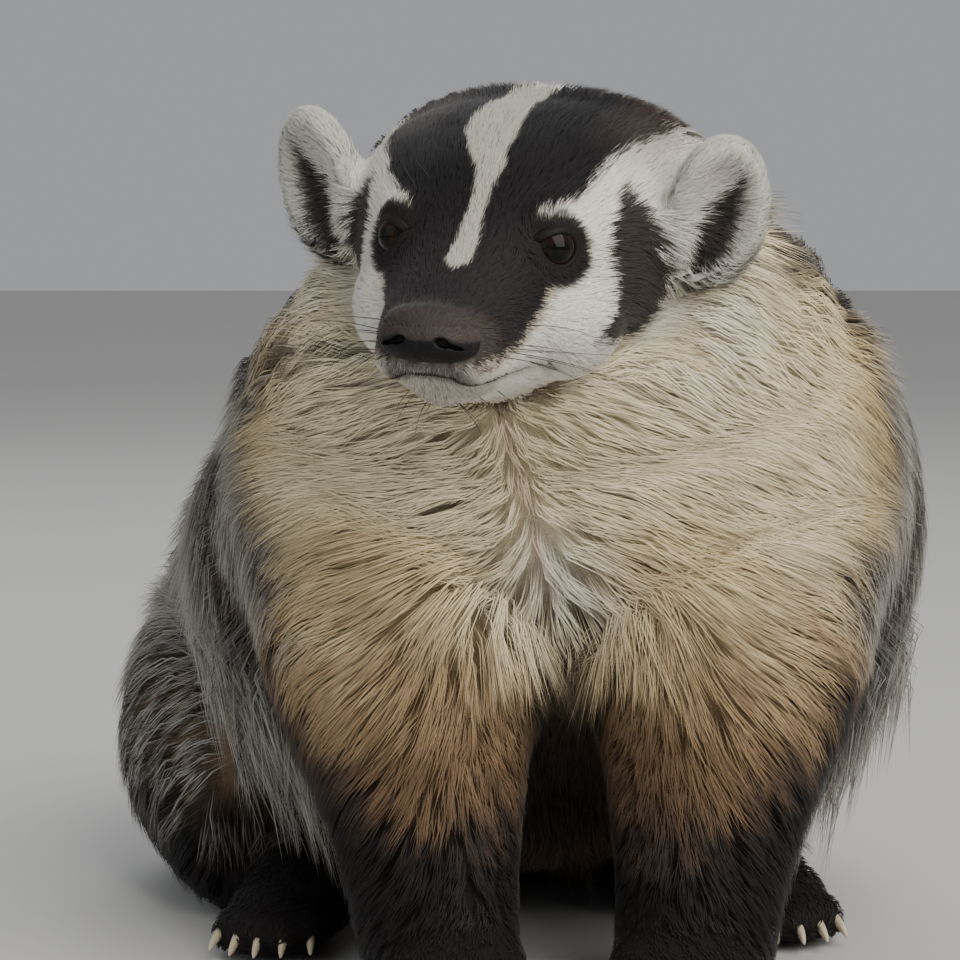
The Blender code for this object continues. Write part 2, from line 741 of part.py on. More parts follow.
def trimmed(node, name, guides):
    """Cuts a node to its room, clear of the rooms parted before it and of the floor."""
    if name != "torso":
        combine(node, [cell(name, 0, guides)], "INTERSECT")
    for other in CELL_ORDER[:CELL_ORDER.index(name)]:
        combine(node, [cell(other, GAP, guides)], "DIFFERENCE")
    combine(node, [block("under_floor", (-1, -1, -1), (1, 1, 0), guides)], "DIFFERENCE")
    keep_largest(node)
    return node


def in_room(planes, place, margin):
    """Whether a place lies inside all the planes of a convex room by a margin."""
    return all((place - point).dot(normal) < -margin for point, normal in planes)


def room_planes(name, collection):
    """The faces of a node's room, each as a point and its outward normal."""
    obj = cell(name, 0, collection)
    planes = [(p.center.copy(), p.normal.copy()) for p in obj.data.polygons]
    bpy.data.objects.remove(obj, do_unlink=True)
    return planes


def belongs(name, place, rooms):
    """Whether a place is in the space that a node takes, clear of the nodes parted before it."""
    for other in CELL_ORDER:
        if other == name:
            return other == "torso" or in_room(rooms[other], place, LOCK_CLEAR)
        if in_room(rooms[other], place, -LOCK_CLEAR):
            return False
    return False


def all_rows():
    """Every mass of the body as its smoothed rows, each with the word for its lie."""
    masses = [("torso", TORSO_ROWS), ("torso", neck_rows()), ("tail", TAIL_ROWS)]
    for side in (-1, 1):
        masses.append(("foreleg", mirrored(FORELEG_ROWS, side, FORELEG_SHIFT)))
        masses.append(("paw", forepaw_rows(side)))
        masses.append(("thigh", mirrored(THIGH_ROWS, side, HIND_CENTRE)))
        masses.append(("paw", hindpaw_rows(side)))
    return [(word, smooth_rows(rows, 4)) for word, rows in masses]


def nearest_row(place, masses):
    """The word and the row of the mass whose surface is nearest a place."""
    best = None
    for word, rows in masses:
        distance = np.linalg.norm(rows[:, :3] - np.array(place), axis=1) - (rows[:, 3] + rows[:, 4]) / 2
        index = int(distance.argmin())
        if best is None or distance[index] < best[0]:
            ahead = rows[min(index + 1, len(rows) - 1)][:3] - rows[max(index - 1, 0)][:3]
            best = (distance[index], word, rows[index], Vector(ahead).normalized())
    return best[1:]


def lie(place, normal, word, along):
    """Which way the coat lies at a place, tangent to the surface."""
    front = min(1.0, max(0.0, -normal.y))
    aside = max(-1.0, min(1.0, place.x / PARTING_WIDTH))
    if word == "tail":
        heading = along.copy()
    elif word == "foreleg":
        heading = Vector((FORELEG_LIE[0] * aside, *FORELEG_LIE[1:]))
    elif word == "thigh":
        heading = Vector(THIGH_LIE)
    else:
        heading = Vector((BODY_LIE[0] * front * aside, *BODY_LIE[1:]))
    heading -= normal * heading.dot(normal)
    return heading.normalized()


def lock_path(root, length, rise, surface, masses, turn):
    """Points and normals of a lock's middle line, which follows the core and rises from it."""
    step_length = length / LOCK_FINE
    place, normal = root
    track = [(place.copy(), normal.copy())]
    for _ in range(LOCK_FINE):
        word, _, along = nearest_row(place, masses)
        heading = lie(place, normal, word, along)
        heading = Matrix.Rotation(turn, 3, normal) @ heading
        place, normal, _, _ = surface.find_nearest(place + heading * step_length)
        track.append((place.copy(), normal.copy()))
    result = []
    for share, height in zip(LOCK_SHARES, LOCK_RISES):
        place, normal = track[round(share * LOCK_FINE)]
        lift = rise * height - LOCK_SINK * (1 - share) ** 3
        result.append((place + normal * lift, normal))
    return result


def lock(path, width, lowest, collection):
    """One flat tapered lock: low ridged sections along its middle line, drawn out to a point."""
    shape = bmesh.new()
    rings = []
    for index, (place, normal) in enumerate(path[:-1]):
        ahead = (path[index + 1][0] - path[max(index - 1, 0)][0]).normalized()
        side = ahead.cross(normal).normalized()
        up = side.cross(ahead)
        half = width * LOCK_WIDTHS[index] / 2
        thick = LOCK_THICK * LOCK_THICKS[index] / 2
        place = Vector((place.x, place.y, max(place.z, thick + lowest)))
        low = place - up * thick
        rings.append([low - side * half, place + up * thick, low + side * half])
    made = [[shape.verts.new(point) for point in ring] for ring in rings]
    for near, far in zip(made, made[1:]):
        for index in range(3):
            after = (index + 1) % 3
            shape.faces.new((near[index], near[after], far[after]))
            shape.faces.new((near[index], far[after], far[index]))
    tip = path[-1][0]
    end = shape.verts.new(Vector((tip.x, tip.y, max(tip.z, lowest))))
    for index in range(3):
        shape.faces.new((made[-1][index], made[-1][(index + 1) % 3], end))
    shape.faces.new(list(reversed(made[0])))
    bmesh.ops.triangulate(shape, faces=shape.faces)
    return new_object("lock", mesh_from_bmesh("lock", shape), collection)


def lock_roots(whole, name, spacing, rooms, rng):
    """Places spread over a node's share of the body's surface, no two nearer than the spacing."""
    corners = [vertex.co for vertex in whole.data.vertices]
    faces = [p for p in whole.data.polygons if any(belongs(name, corners[i], rooms) for i in p.vertices)]
    roots = []
    for face in rng.choices(faces, weights=[p.area for p in faces], k=LOCK_TRIES):
        first, second, third = (corners[i] for i in face.vertices)
        a, b = rng.random(), rng.random()
        if a + b > 1:
            a, b = 1 - a, 1 - b
        place = first + (second - first) * a + (third - first) * b
        free = all((place - other[0]).length > spacing for other in roots)
        if free and place.z > ROOT_LOWEST and belongs(name, place, rooms):
            roots.append((place, face.normal.copy()))
    return roots


def grow_locks(whole, name, rooms, masses, collection):
    """The locks of a node, shortened where they would leave its room."""
    spacing, length, width = LOCKS[name.split("_")[0]]
    rng = random.Random(SEED + CELL_ORDER.index(name))
    surface = surface_of(whole)
    locks = []
    for root in lock_roots(whole, name, spacing, rooms, rng):
        depth = nearest_row(root[0], masses)[1][5]
        rise = depth * (1 - CORE_SHARE) * rng.uniform(*RISE_VARIES)
        turn = math.radians(rng.uniform(-LOCK_SPRAY_DEG, LOCK_SPRAY_DEG))
        long = length * rng.uniform(*LOCK_VARIES)
        for share in LOCK_TRIALS:
            path = lock_path(root, long * share, rise, surface, masses, turn)
            if all(belongs(name, point, rooms) for point, _ in path[1:-1]):
                lowest = FLOOR_CLEAR * rng.uniform(*FLOOR_VARIES)
                locks.append(lock(path, width * rng.uniform(*LOCK_VARIES), lowest, collection))
                break
    return locks


def furred(whole, name, rooms, masses, parts, guides):
    """A node of the body: its share of the whole, with its locks fused on."""
    node = copy_of(whole, name, parts)
    if name.split("_")[0] in LOCKS:
        combine(node, grow_locks(whole, name, rooms, masses, guides), "UNION")
    return trimmed(node, name, guides)


def dress(obj, colour_name):
    """Gives a node its own Principled material."""
    material = bpy.data.materials.new(obj.name)
    material.use_nodes = True
    shader = material.node_tree.nodes["Principled BSDF"]
    shader.inputs["Base Color"].default_value = (*COLOURS[colour_name], 1)
    shader.inputs["Roughness"].default_value = ROUGHNESS.get(colour_name, FUR_ROUGHNESS)
    shader.inputs["Metallic"].default_value = 0.0
    obj.data.materials.clear()
    obj.data.materials.append(material)
    obj.data.shade_smooth()
    obj.data.set_sharp_from_angle(angle=math.radians(BEND_DEG))


def centre_on_floor(objects):
    """Moves the meshes so that the floor is at zero under the middle of their box."""
    points = np.vstack([[v.co[:] for v in obj.data.vertices] for obj in objects])
    low, high = points.min(axis=0), points.max(axis=0)
    shift = Vector((-(low[0] + high[0]) / 2, -(low[1] + high[1]) / 2, -low[2]))
    for obj in objects:
        obj.data.transform(Matrix.Translation(shift))
    return shift


def make_head(parts, guides):
    """The head with its lids, mouth and the seats of its eyes, nose and ears, and those pieces."""
    head = fuse("head", head_masses(guides), parts, HEAD_VOXEL, HEAD_TRIANGLES, HEAD_SMOOTHING)
    frames = {side: eye_frame(head, side) for side in (-1, 1)}
    combine(head, [lid_ring("lid", frames[side], guides) for side in (-1, 1)], "UNION")
    nodes = {"head": head}
    for name, side in (("eye_left", 1), ("eye_right", -1)):
        nodes[name] = ball(name, (0, 0, 0), [EYE_RADIUS] * 3, parts, frames[side], detail=2)
        combine(head, [ball("socket", (0, 0, 0), [EYE_RADIUS + GAP] * 3, guides, frames[side],
                            detail=2)], "DIFFERENCE")
    combine(head, [mouth_groove(head, guides)], "DIFFERENCE")
    combine(head, [cell("head", 0, guides)], "INTERSECT")
    nodes["nose"] = make_nose(parts)
    for name, side in (("ear_left", 1), ("ear_right", -1)):
        ear = make_ear(name, side, parts)
        combine(ear, [grown(head, GAP, "seat", guides)], "DIFFERENCE")
        keep_largest(ear)
        nodes[name] = ear
    combine(head, [grown(nodes["nose"], GAP, "seat", guides)], "DIFFERENCE")
    keep_largest(head)
    return nodes


def build():
    """Makes every node and moves the whole so that its origin is on the floor under its middle."""
    clear_scene()
    scene = bpy.context.scene
    parts = bpy.data.collections.new("american_badger")
    guides = bpy.data.collections.new("guides")
    scene.collection.children.link(parts)
    scene.collection.children.link(guides)
    nodes = make_head(parts, guides)
    masses = body_masses(CORE_SHARE, guides) + head_masses(guides)
    whole = fuse("whole", masses, guides, BODY_VOXEL, BODY_TRIANGLES, BODY_SMOOTHING)
    combine(whole, [block("under_floor", (-1, -1, -1), (1, 1, 0), guides)], "DIFFERENCE")
    for ear in ("ear_left", "ear_right"):
        combine(whole, [grown(nodes[ear], GAP, "seat", guides)], "DIFFERENCE")
    keep_largest(whole)
    rooms = {name: room_planes(name, guides) for name in CELL_ORDER if name != "torso"}
    masses = all_rows()
    for name in CELL_ORDER:
        if name != "head":
            nodes[name] = furred(whole, name, rooms, masses, parts, guides)
    for name, rows in (("forepaw", forepaw_rows), ("hindpaw", hindpaw_rows)):
        length = FORE_CLAW if name == "forepaw" else HIND_CLAW
        for word, side in (("left", 1), ("right", -1)):
            claws = [claw(middle - heading * CLAW_ROOT, heading, length, guides)
                     for middle, heading in toes(rows(side))]
            combine(nodes[name + "_" + word], claws, "UNION")
    bpy.data.objects.remove(whole, do_unlink=True)
    shift = centre_on_floor(list(nodes.values()))
    for name, obj in nodes.items():
        dress(obj, name.split("_")[0])
    return shift


SHIFT = build()
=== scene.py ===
"""An American badger sitting on its haunches, dressed over its CAD solids.

The skin is one fused surface, and the coat is solid hair laid over it in soft locks. Lengths are in metres.
Everything is made where the design has it, and moved by ORIGIN onto the frame as it becomes a piece.
"""
import json
import logging
import math
from dataclasses import dataclass, field
from enum import Enum, IntEnum
from typing import Dict, List, Optional, Sequence, Tuple, Union

import bmesh
import bpy
import numpy as np
from mathutils import Euler, Matrix, Vector
from mathutils.bvhtree import BVHTree

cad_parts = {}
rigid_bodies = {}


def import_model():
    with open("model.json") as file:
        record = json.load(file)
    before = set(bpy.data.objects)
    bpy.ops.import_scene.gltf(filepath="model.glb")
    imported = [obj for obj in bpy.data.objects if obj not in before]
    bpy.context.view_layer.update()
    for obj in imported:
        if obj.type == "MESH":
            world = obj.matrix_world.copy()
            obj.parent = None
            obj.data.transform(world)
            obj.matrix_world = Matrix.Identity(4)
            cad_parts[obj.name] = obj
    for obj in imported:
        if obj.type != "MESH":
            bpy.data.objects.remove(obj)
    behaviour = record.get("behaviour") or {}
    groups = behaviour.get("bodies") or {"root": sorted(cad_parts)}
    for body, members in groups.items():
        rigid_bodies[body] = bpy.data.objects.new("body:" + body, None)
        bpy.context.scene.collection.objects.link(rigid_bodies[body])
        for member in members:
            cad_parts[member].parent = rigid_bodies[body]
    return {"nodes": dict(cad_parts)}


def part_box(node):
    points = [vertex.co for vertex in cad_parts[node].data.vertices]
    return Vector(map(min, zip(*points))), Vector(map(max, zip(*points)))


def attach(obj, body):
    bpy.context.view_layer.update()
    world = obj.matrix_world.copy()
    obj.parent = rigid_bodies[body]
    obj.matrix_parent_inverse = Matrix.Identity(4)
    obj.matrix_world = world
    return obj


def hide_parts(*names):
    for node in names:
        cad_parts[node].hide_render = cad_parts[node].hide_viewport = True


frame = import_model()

LOG = logging.getLogger("badger")
Array = np.ndarray
Rows = Sequence[Tuple[float, ...]]
Pair = Tuple[float, float]
Triple = Tuple[float, float, float]
Triples = Tuple[Triple, Triple]
Term = Union["Value", float]
Shape = bmesh.types.BMesh
Mesh = bpy.types.Mesh
Material = bpy.types.Material

ORIGIN = Vector((0.019486, -0.144016, 0.0))
SEED = 5
STRAND_TRIANGLES = 6
PIECE_TRIANGLES = 192000
PATCH = 0.003
FLOOR_CLEAR = 0.0006
SIDES = (-1, 1)
END_SECTIONS = 4
LIMB_STEPS = 5
TOES = 5
PARTING = ((0.13, 0.163, 0.195), (-0.004, -0.011, -0.02))
BLACK = np.full(3, 0.003)


def linear(red: float, green: float, blue: float) -> Array:
    """A screen colour of 0 to 255 as linear light."""
    share = np.array((red, green, blue), dtype=float) / 255
    return np.where(share <= 0.04045, share / 12.92, ((share + 0.055) / 1.055) ** 2.4)


def tone(red: float, green: float, blue: float) -> Array:
    """A dataclass field that holds a screen colour as linear light."""
    return field(default_factory=lambda: linear(red, green, blue))


def smoothstep(low: float, high: float, values: Array) -> Array:
    """A soft step from 0 at low to 1 at high."""
    share = np.clip((values - low) / (high - low), 0.0, 1.0)
    return share * share * (3 - 2 * share)


def unit(vectors: Array) -> Array:
    """Vectors brought to length one."""
    return vectors / np.maximum(np.linalg.norm(vectors, axis=-1, keepdims=True), 1e-9)


def columns(*values: Union[Array, float]) -> Array:
    """Values side by side as columns, with plain numbers repeated down theirs."""
    return np.stack(np.broadcast_arrays(*values), axis=-1)


def flat(vectors: Array, normals: Array) -> Array:
    """Vectors without the share that stands along the normals."""
    return vectors - normals * (vectors * normals).sum(axis=1, keepdims=True)


def ripple(points: Array, wave: float, seed: int = 0) -> Array:
    """Smooth noise of about -1 to 1, from crossed waves.

    Args:
        points: Places, one a row.
        wave: The length of the longest wave.
        seed: Which noise to give.

    Returns:
        One value for each place.
    """
    rng = np.random.default_rng(seed)
    total = np.zeros(len(points))
    for step in range(7):
        heading = unit(rng.normal(size=3))
        total += np.sin(points @ heading * (2 * math.pi / wave) * (1 + 0.4 * step) + rng.uniform(0, 6.28))
    return total / 3.2


def blend(first: Array, second: Array, share: Array) -> Array:
    """First where share is 0 and second where it is 1, for rows of colours or vectors."""
    return first + (second - first) * share[:, None]


def lay(stops: Array, share: Array, *tones: Array) -> None:
    """Lays tones over the colours at each hair's stops, the last tone over all stops that are left."""
    for stop in range(stops.shape[1]):
        stops[:, stop] = blend(stops[:, stop], tones[min(stop, len(tones) - 1)], share)


def smooth_rows(rows: Rows, steps: int) -> Array:
    """Rows of numbers along a smooth curve through the given rows.

    Args:
        rows: The rows to pass through.
        steps: How many rows to make for each given one.

    Returns:
        The finer rows.
    """
    given = np.array(rows, dtype=float)
    ends = np.vstack([2 * given[0] - given[1], given, 2 * given[-1] - given[-2]])
    result = []
    for index in range(len(given) - 1):
        before, start, end, after = ends[index:index + 4]
        for step in range(steps):
            t = step / steps
            cubic = (3 * start - before - 3 * end + after) * t ** 3
            square = (2 * before - 5 * start + 4 * end - after) * t ** 2
            result.append(0.5 * (2 * start + (end - before) * t + square + cubic))
    result.append(given[-1])
    return np.array(result)


def oval(centre: Vector, side: Vector, deep: Vector, width: float, depth: float, count: int = 28,
         power: float = 2.0) -> List[Vector]:
    """Points round an oval section.

    Args:
        centre: The section's middle.
        side: The direction of its width.
        deep: The direction of its depth.
        width: Half its width.
        depth: Half its depth.
        count: How many points.
        power: Over 2, how square the section is.

    Returns:
        The points in order.
    """
    points = []
    for index in range(count):
        angle = 2 * math.pi * index / count
        across = math.copysign(abs(math.cos(angle)) ** (2 / power), math.cos(angle))
        down = math.copysign(abs(math.sin(angle)) ** (2 / power), math.sin(angle))
        points.append(centre + side * width * across + deep * depth * down)
    return points


def loft(rings: Sequence[Sequence[Vector]], ring_closes: bool = False) -> Shape:
    """A closed surface over a row of rings of points.

    Args:
        rings: The rings in order, all with as many points.
        ring_closes: Whether the last ring meets the first, and no fans close the ends.

    Returns:
        The surface, with its faces pointing out.
    """
    shape = bmesh.new()
    made = [[shape.verts.new(point) for point in ring] for ring in rings]
    sides = len(made[0])
    pairs = list(zip(made, made[1:] + made[:1])) if ring_closes else list(zip(made, made[1:]))
    for near, far in pairs:
        for index in range(sides):
            after = (index + 1) % sides
            shape.faces.new((near[index], near[after], far[after], far[index]))
    for ring in () if ring_closes else (made[0], made[-1]):
        middle = shape.verts.new(sum((v.co for v in ring), Vector()) / sides)
        for index in range(sides):
            shape.faces.new((ring[index], ring[(index + 1) % sides], middle))
    bmesh.ops.recalc_face_normals(shape, faces=shape.faces)
    if shape.calc_volume(signed=True) < 0:
        bmesh.ops.reverse_faces(shape, faces=shape.faces)
    return shape


def ball(centre: Vector, half: Sequence[float], place: Matrix = Matrix(), turn: Triple = (0, 0, 0),
         detail: int = 3) -> Shape:
    """An ellipsoid in a frame.

    Args:
        centre: Its middle in the frame.
        half: Its half sizes.
        place: The frame.
        turn: Its turn in degrees.
        detail: How finely it is divided.

    Returns:
        The surface.
    """
    shape = bmesh.new()
    bmesh.ops.create_icosphere(shape, subdivisions=detail, radius=1.0)
    spin = Euler([math.radians(angle) for angle in turn]).to_matrix().to_4x4()
    shape.transform(place @ Matrix.Translation(centre) @ spin @ Matrix.Diagonal((*half, 1.0)))
    return shape


@dataclass
class Form:
    """A surface in numbers: its points, its triangles and the colour of each point."""

    points: Array
    triangles: Array
    tint: Array
    normals: Optional[Array] = None

    @classmethod
    def from_bmesh(cls, shape: Shape, colour: Array) -> "Form":
        """Takes what a bmesh holds, in one colour.

        Args:
            shape: The surface, which is freed.
            colour: Its colour in linear light.

        Returns:
            The form.
        """
        bmesh.ops.triangulate(shape, faces=shape.faces)
        shape.verts.index_update()
        points = np.array([v.co[:] for v in shape.verts])
        triangles = np.array([[v.index for v in face.verts] for face in shape.faces])
        shape.free()
        return cls(points, triangles, np.tile(colour, (len(points), 1)))

    @classmethod
    def joined(cls, forms: Sequence["Form"]) -> "Form":
        """Several forms as one."""
        starts = np.cumsum([0] + [len(form.points) for form in forms[:-1]])
        triangles = [form.triangles + start for form, start in zip(forms, starts)]
        return cls(np.vstack([form.points for form in forms]), np.vstack(triangles),
                   np.vstack([form.tint for form in forms]))

    def moved(self, place: Matrix) -> "Form":
        """The form moved from a frame into the design."""
        turn = np.array(place)
        return Form(self.points @ turn[:3, :3].T + turn[:3, 3], self.triangles, self.tint)

    def piece(self, name: str, material: Material, slot: str, nodes: Sequence[str] = (),
              uv: Optional[Array] = None) -> None:
        """Makes the form a smooth piece of the animal, in its colours, riding on its one body.

        Args:
            name: The piece's name.
            material: Its finish.
            slot: The record's slot that the finish stands for; not used.
            nodes: The CAD nodes that it replaces.
            uv: Each point's place on the baked picture.
        """
        mesh = bpy.data.meshes.new(name)
        count = len(self.triangles)
        mesh.vertices.add(len(self.points))
        mesh.vertices.foreach_set("co", self.points.astype(np.float32).ravel())
        mesh.loops.add(3 * count)
        mesh.loops.foreach_set("vertex_index", self.triangles.astype(np.int32).ravel())
        mesh.polygons.add(count)
        mesh.polygons.foreach_set("loop_start", np.arange(0, 3 * count, 3, dtype=np.int32))
        mesh.update(calc_edges=True)
        mesh.shade_smooth()
        layer = mesh.attributes.new("tint", "FLOAT_COLOR", "POINT")
        colours = np.hstack([np.clip(self.tint, 0.0, 1.0), np.ones((len(self.tint), 1))])
        layer.data.foreach_set("color", colours.astype(np.float32).ravel())
        if uv is not None:
            layer = mesh.uv_layers.new(name="OFBake")
            layer.data.foreach_set("uv", uv[self.triangles.ravel()].astype(np.float32).ravel())
        if self.normals is not None:
            mesh.normals_split_custom_set_from_vertices(self.normals)
        mesh.transform(Matrix.Translation(ORIGIN))
        mesh.materials.append(material)
        piece = bpy.data.objects.new(name, mesh)
        bpy.context.scene.collection.objects.link(piece)
        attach(piece, "root")
        if nodes:
            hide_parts(*nodes)
        LOG.info("%s: %d faces", name, count)


class Value:
    """A socket of a finish's node tree, with arithmetic that adds Math nodes."""

    def __init__(self, tree: bpy.types.NodeTree, socket: bpy.types.NodeSocket) -> None:
        """Keeps the tree and the socket."""
        self.tree = tree
        self.socket = socket

    def math(self, operation: str, *terms: Term) -> "Value":
        """One Math node.

        Args:
            operation: What it does.
            terms: Its inputs in order, as values or numbers.

        Returns:
            Its result.
        """
        node = self.tree.nodes.new("ShaderNodeMath")
        node.operation = operation
        for slot, term in zip(node.inputs, terms):
            if isinstance(term, Value):
                self.tree.links.new(term.socket, slot)
            else:
                slot.default_value = term
        return Value(self.tree, node.outputs[0])

    def __add__(self, other: Term) -> "Value":
        """The sum."""
        return self.math("ADD", self, other)

    def __radd__(self, other: float) -> "Value":
        """The sum, with the number first."""
        return self.math("ADD", other, self)

    def __sub__(self, other: Term) -> "Value":
        """The difference."""
        return self.math("SUBTRACT", self, other)

    def __rsub__(self, other: float) -> "Value":
        """The difference, with the number first."""
        return self.math("SUBTRACT", other, self)

    def __mul__(self, other: Term) -> "Value":
        """The product."""
        return self.math("MULTIPLY", self, other)

    def __rmul__(self, other: float) -> "Value":
        """The product, with the number first."""
        return self.math("MULTIPLY", other, self)


class Recipe:
    """The node tree of one finish, round its Principled shader."""

    def __init__(self, name: str) -> None:
        """Starts a material with its plain shader."""
        self.material = bpy.data.materials.new(name)
        self.material.use_nodes = True
        self.tree = self.material.node_tree
        self.shader = self.tree.nodes["Principled BSDF"]

    def node(self, kind: str, settings: Dict[str, object], inputs: Dict[Union[str, int], object],
             output: Union[str, int] = 0) -> Value:
        """One node of any kind.

        Args:
            kind: The node's type.
            settings: Its settings, which are set first.
            inputs: The values or links of its sockets.
            output: Which output to give.

        Returns:
            The output.
        """
        node = self.tree.nodes.new(kind)
        for key, setting in settings.items():
            setattr(node, key, setting)
        for key, given in inputs.items():
            if isinstance(given, Value):
                self.tree.links.new(given.socket, node.inputs[key])
            else:
                node.inputs[key].default_value = given
        return Value(self.tree, node.outputs[output])

    def place(self) -> Value:
        """Where on the piece a point is."""
        return self.node("ShaderNodeTexCoord", {}, {}, "Object")

    def tint(self) -> Value:
        """The colour that the mesh carries."""
        return self.node("ShaderNodeAttribute", {"attribute_name": "tint"}, {}, "Color")

    def noise(self, place: Value, scale: float, detail: float = 2.0) -> Value:
        """Soft noise from 0 to 1, so many patches to a metre."""
        return self.node("ShaderNodeTexNoise", {}, {"Vector": place, "Scale": scale, "Detail": detail})

    def scaled(self, colour: Value, by: Value) -> Value:
        """A colour made lighter or darker."""
        return self.node("ShaderNodeVectorMath", {"operation": "SCALE"}, {0: colour, "Scale": by})

    def bump(self, height: Value, distance: float, strength: float = 1.0) -> Value:
        """Normals raised by a height over a distance."""
        return self.node("ShaderNodeBump", {}, {"Height": height, "Distance": distance, "Strength": strength})

    def feed(self, **links: Value) -> None:
        """Joins values to the shader's inputs, named with _ for a space."""
        for key, value in links.items():
            self.tree.links.new(value.socket, self.shader.inputs[key.replace("_", " ")])

    def fix(self, **numbers: float) -> None:
        """Sets the shader's own numbers, named with _ for a space."""
        for key, number in numbers.items():
            self.shader.inputs[key.replace("_", " ")].default_value = number


@dataclass(frozen=True)
class Finish:
    """What every finish has: a name, and nodes that are laid out round a plain shader."""

    name: str

    def make(self) -> Material:
        """The material."""
        recipe = Recipe(self.name)
        self.mix(recipe, recipe.place())
        return recipe.material

    def mix(self, recipe: Recipe, place: Value) -> None:
        """Lays out the nodes."""
        raise NotImplementedError


@dataclass(frozen=True)
class HairFinish(Finish):
    """Hair: each strand's own colour with fine streaks and a soft sheen."""

    roughness: float = 0.66
    streak: float = 0.12
    sheen: float = 0.06

    def mix(self, recipe: Recipe, place: Value) -> None:
        """Lays out the nodes."""
        fine = recipe.noise(place, 1300.0)
        broad = recipe.noise(place, 45.0, 3.0)
        light = 1.0 + (fine - 0.5) * (2 * self.streak) + (broad - 0.5) * self.streak
        recipe.feed(Base_Color=recipe.scaled(recipe.tint(), light),
                    Roughness=(fine - 0.5) * 0.25 + self.roughness)
        recipe.fix(Sheen_Weight=self.sheen, Sheen_Roughness=0.5, Specular_IOR_Level=0.22)


@dataclass(frozen=True)
class SkinFinish(Finish):
    """Close underfur on the skin: the coat's markings, darker, with a fine nap."""
    roughness: float = 0.85
    nap: float = 0.0007

    def mix(self, recipe: Recipe, place: Value) -> None:
        """Lays out the nodes."""
        fine = recipe.noise(place, 1500.0, 3.0)
        broad = recipe.noise(place, 220.0, 3.0)
        light = 1.0 + (fine - 0.5) * 0.7 + (broad - 0.5) * 0.4
        recipe.feed(Base_Color=recipe.scaled(recipe.tint(), light),
                    Roughness=(broad - 0.5) * 0.15 + self.roughness,
                    Normal=recipe.bump(fine, self.nap))
        recipe.fix(Specular_IOR_Level=0.2)


@dataclass(frozen=True)
class LeatherFinish(Finish):
    """Bare dark leather of the nose, lips and lids, pebbled and a little moist."""

    pebble: float = 1500.0
    roughness: float = 0.5
    depth: float = 0.00028

    def mix(self, recipe: Recipe, place: Value) -> None:
        """Lays out the nodes."""
        cells = recipe.node("ShaderNodeTexVoronoi", {}, {"Vector": place, "Scale": self.pebble}, "Distance")
        soft = recipe.noise(place, 350.0, 3.0)
        # Darker towards each pebble's edge, in the grooves between pebbles: painted shade in the crevices.
        light = 1.0 + (0.5 - cells) * 0.5 + (soft - 0.5) * 0.6
        height = (1.0 - cells) * 0.7 + soft * 0.3
        recipe.feed(Base_Color=recipe.scaled(recipe.tint(), light),
                    Roughness=(soft - 0.5) * 0.35 + self.roughness,
                    Normal=recipe.bump(height, self.depth))
        recipe.fix(Coat_Weight=0.03, Coat_Roughness=0.3, Specular_IOR_Level=0.18)


@dataclass(frozen=True)
class EyeFinish(Finish):
    """A wet dark eye: brown iris with fine spokes round a black pupil, under a clear surface."""

    def mix(self, recipe: Recipe, place: Value) -> None:
        """Lays out the nodes."""
        fleck = recipe.noise(place, 900.0, 4.0)
        recipe.feed(Base_Color=recipe.scaled(recipe.tint(), 0.6 + fleck * 0.8),
                    Roughness=fleck * 0.04 + 0.03)
        recipe.fix(Coat_Weight=0.15, Coat_Roughness=0.02, Specular_IOR_Level=0.08)


@dataclass(frozen=True)
class HornFinish(Finish):
    """Horn of the claws, streaked along and worn dull at the tips."""

    def mix(self, recipe: Recipe, place: Value) -> None:
        """Lays out the nodes."""
        drawn = recipe.node("ShaderNodeMapping", {}, {"Vector": place, "Scale": (9.0, 1.0, 9.0)})
        streak = recipe.noise(drawn, 120.0, 3.0)
        grime = recipe.noise(place, 300.0, 3.0)
        recipe.feed(Base_Color=recipe.scaled(recipe.tint(), 0.7 + streak * 0.6),
                    Roughness=grime * 0.3 + 0.28,
                    Normal=recipe.bump(streak, 0.0002))


@dataclass(frozen=True)
class FloorFinish(Finish):
    """A plain pale floor, barely mottled."""

    def mix(self, recipe: Recipe, place: Value) -> None:
        """Lays out the nodes."""
        mottle = recipe.noise(place, 3.0, 4.0)
        pale = recipe.node("ShaderNodeRGB", {}, {})
        pale.socket.default_value = (0.62, 0.61, 0.59, 1.0)
        recipe.feed(Base_Color=recipe.scaled(pale, 0.97 + mottle * 0.06), Roughness=mottle * 0.1 + 0.7)


@dataclass(frozen=True)
class HeadPlace:
    """The head's own frame: x to the animal's left, y backwards, z up, from midway between the eyes."""

    middle: Triple = (-0.027, -0.08, 0.247)
    yaw: float = -17.8
    pitch: float = 13.7
    roll: float = 4.0

    def matrix(self) -> Matrix:
        """The frame's place and turn."""
        yaw = Matrix.Rotation(math.radians(self.yaw), 4, "Z")
        pitch = Matrix.Rotation(math.radians(self.pitch), 4, "X")
        roll = Matrix.Rotation(math.radians(self.roll), 4, "Y")
        return Matrix.Translation(self.middle) @ yaw @ pitch @ roll

    def inside(self, points: Array) -> Array:
        """Places of the design, seen in the head's frame."""
        return (points - np.array(self.middle)) @ np.array(self.matrix().to_3x3())

    def turned(self, vectors: Array) -> Array:
        """Directions of the head's frame, seen in the design."""
        return vectors @ np.array(self.matrix().to_3x3()).T

    def outside(self, points: Array) -> Array:
        """Places of the head's frame, seen in the design."""
        return self.turned(points) + np.array(self.middle)


class Part(IntEnum):
    """What a stretch of the animal is."""

    HEAD = 0
    EAR = 1
    NECK = 2
    TORSO = 3
    TAIL = 4
    FORELEG = 5
    FOREPAW = 6
    THIGH = 7
    HINDPAW = 8


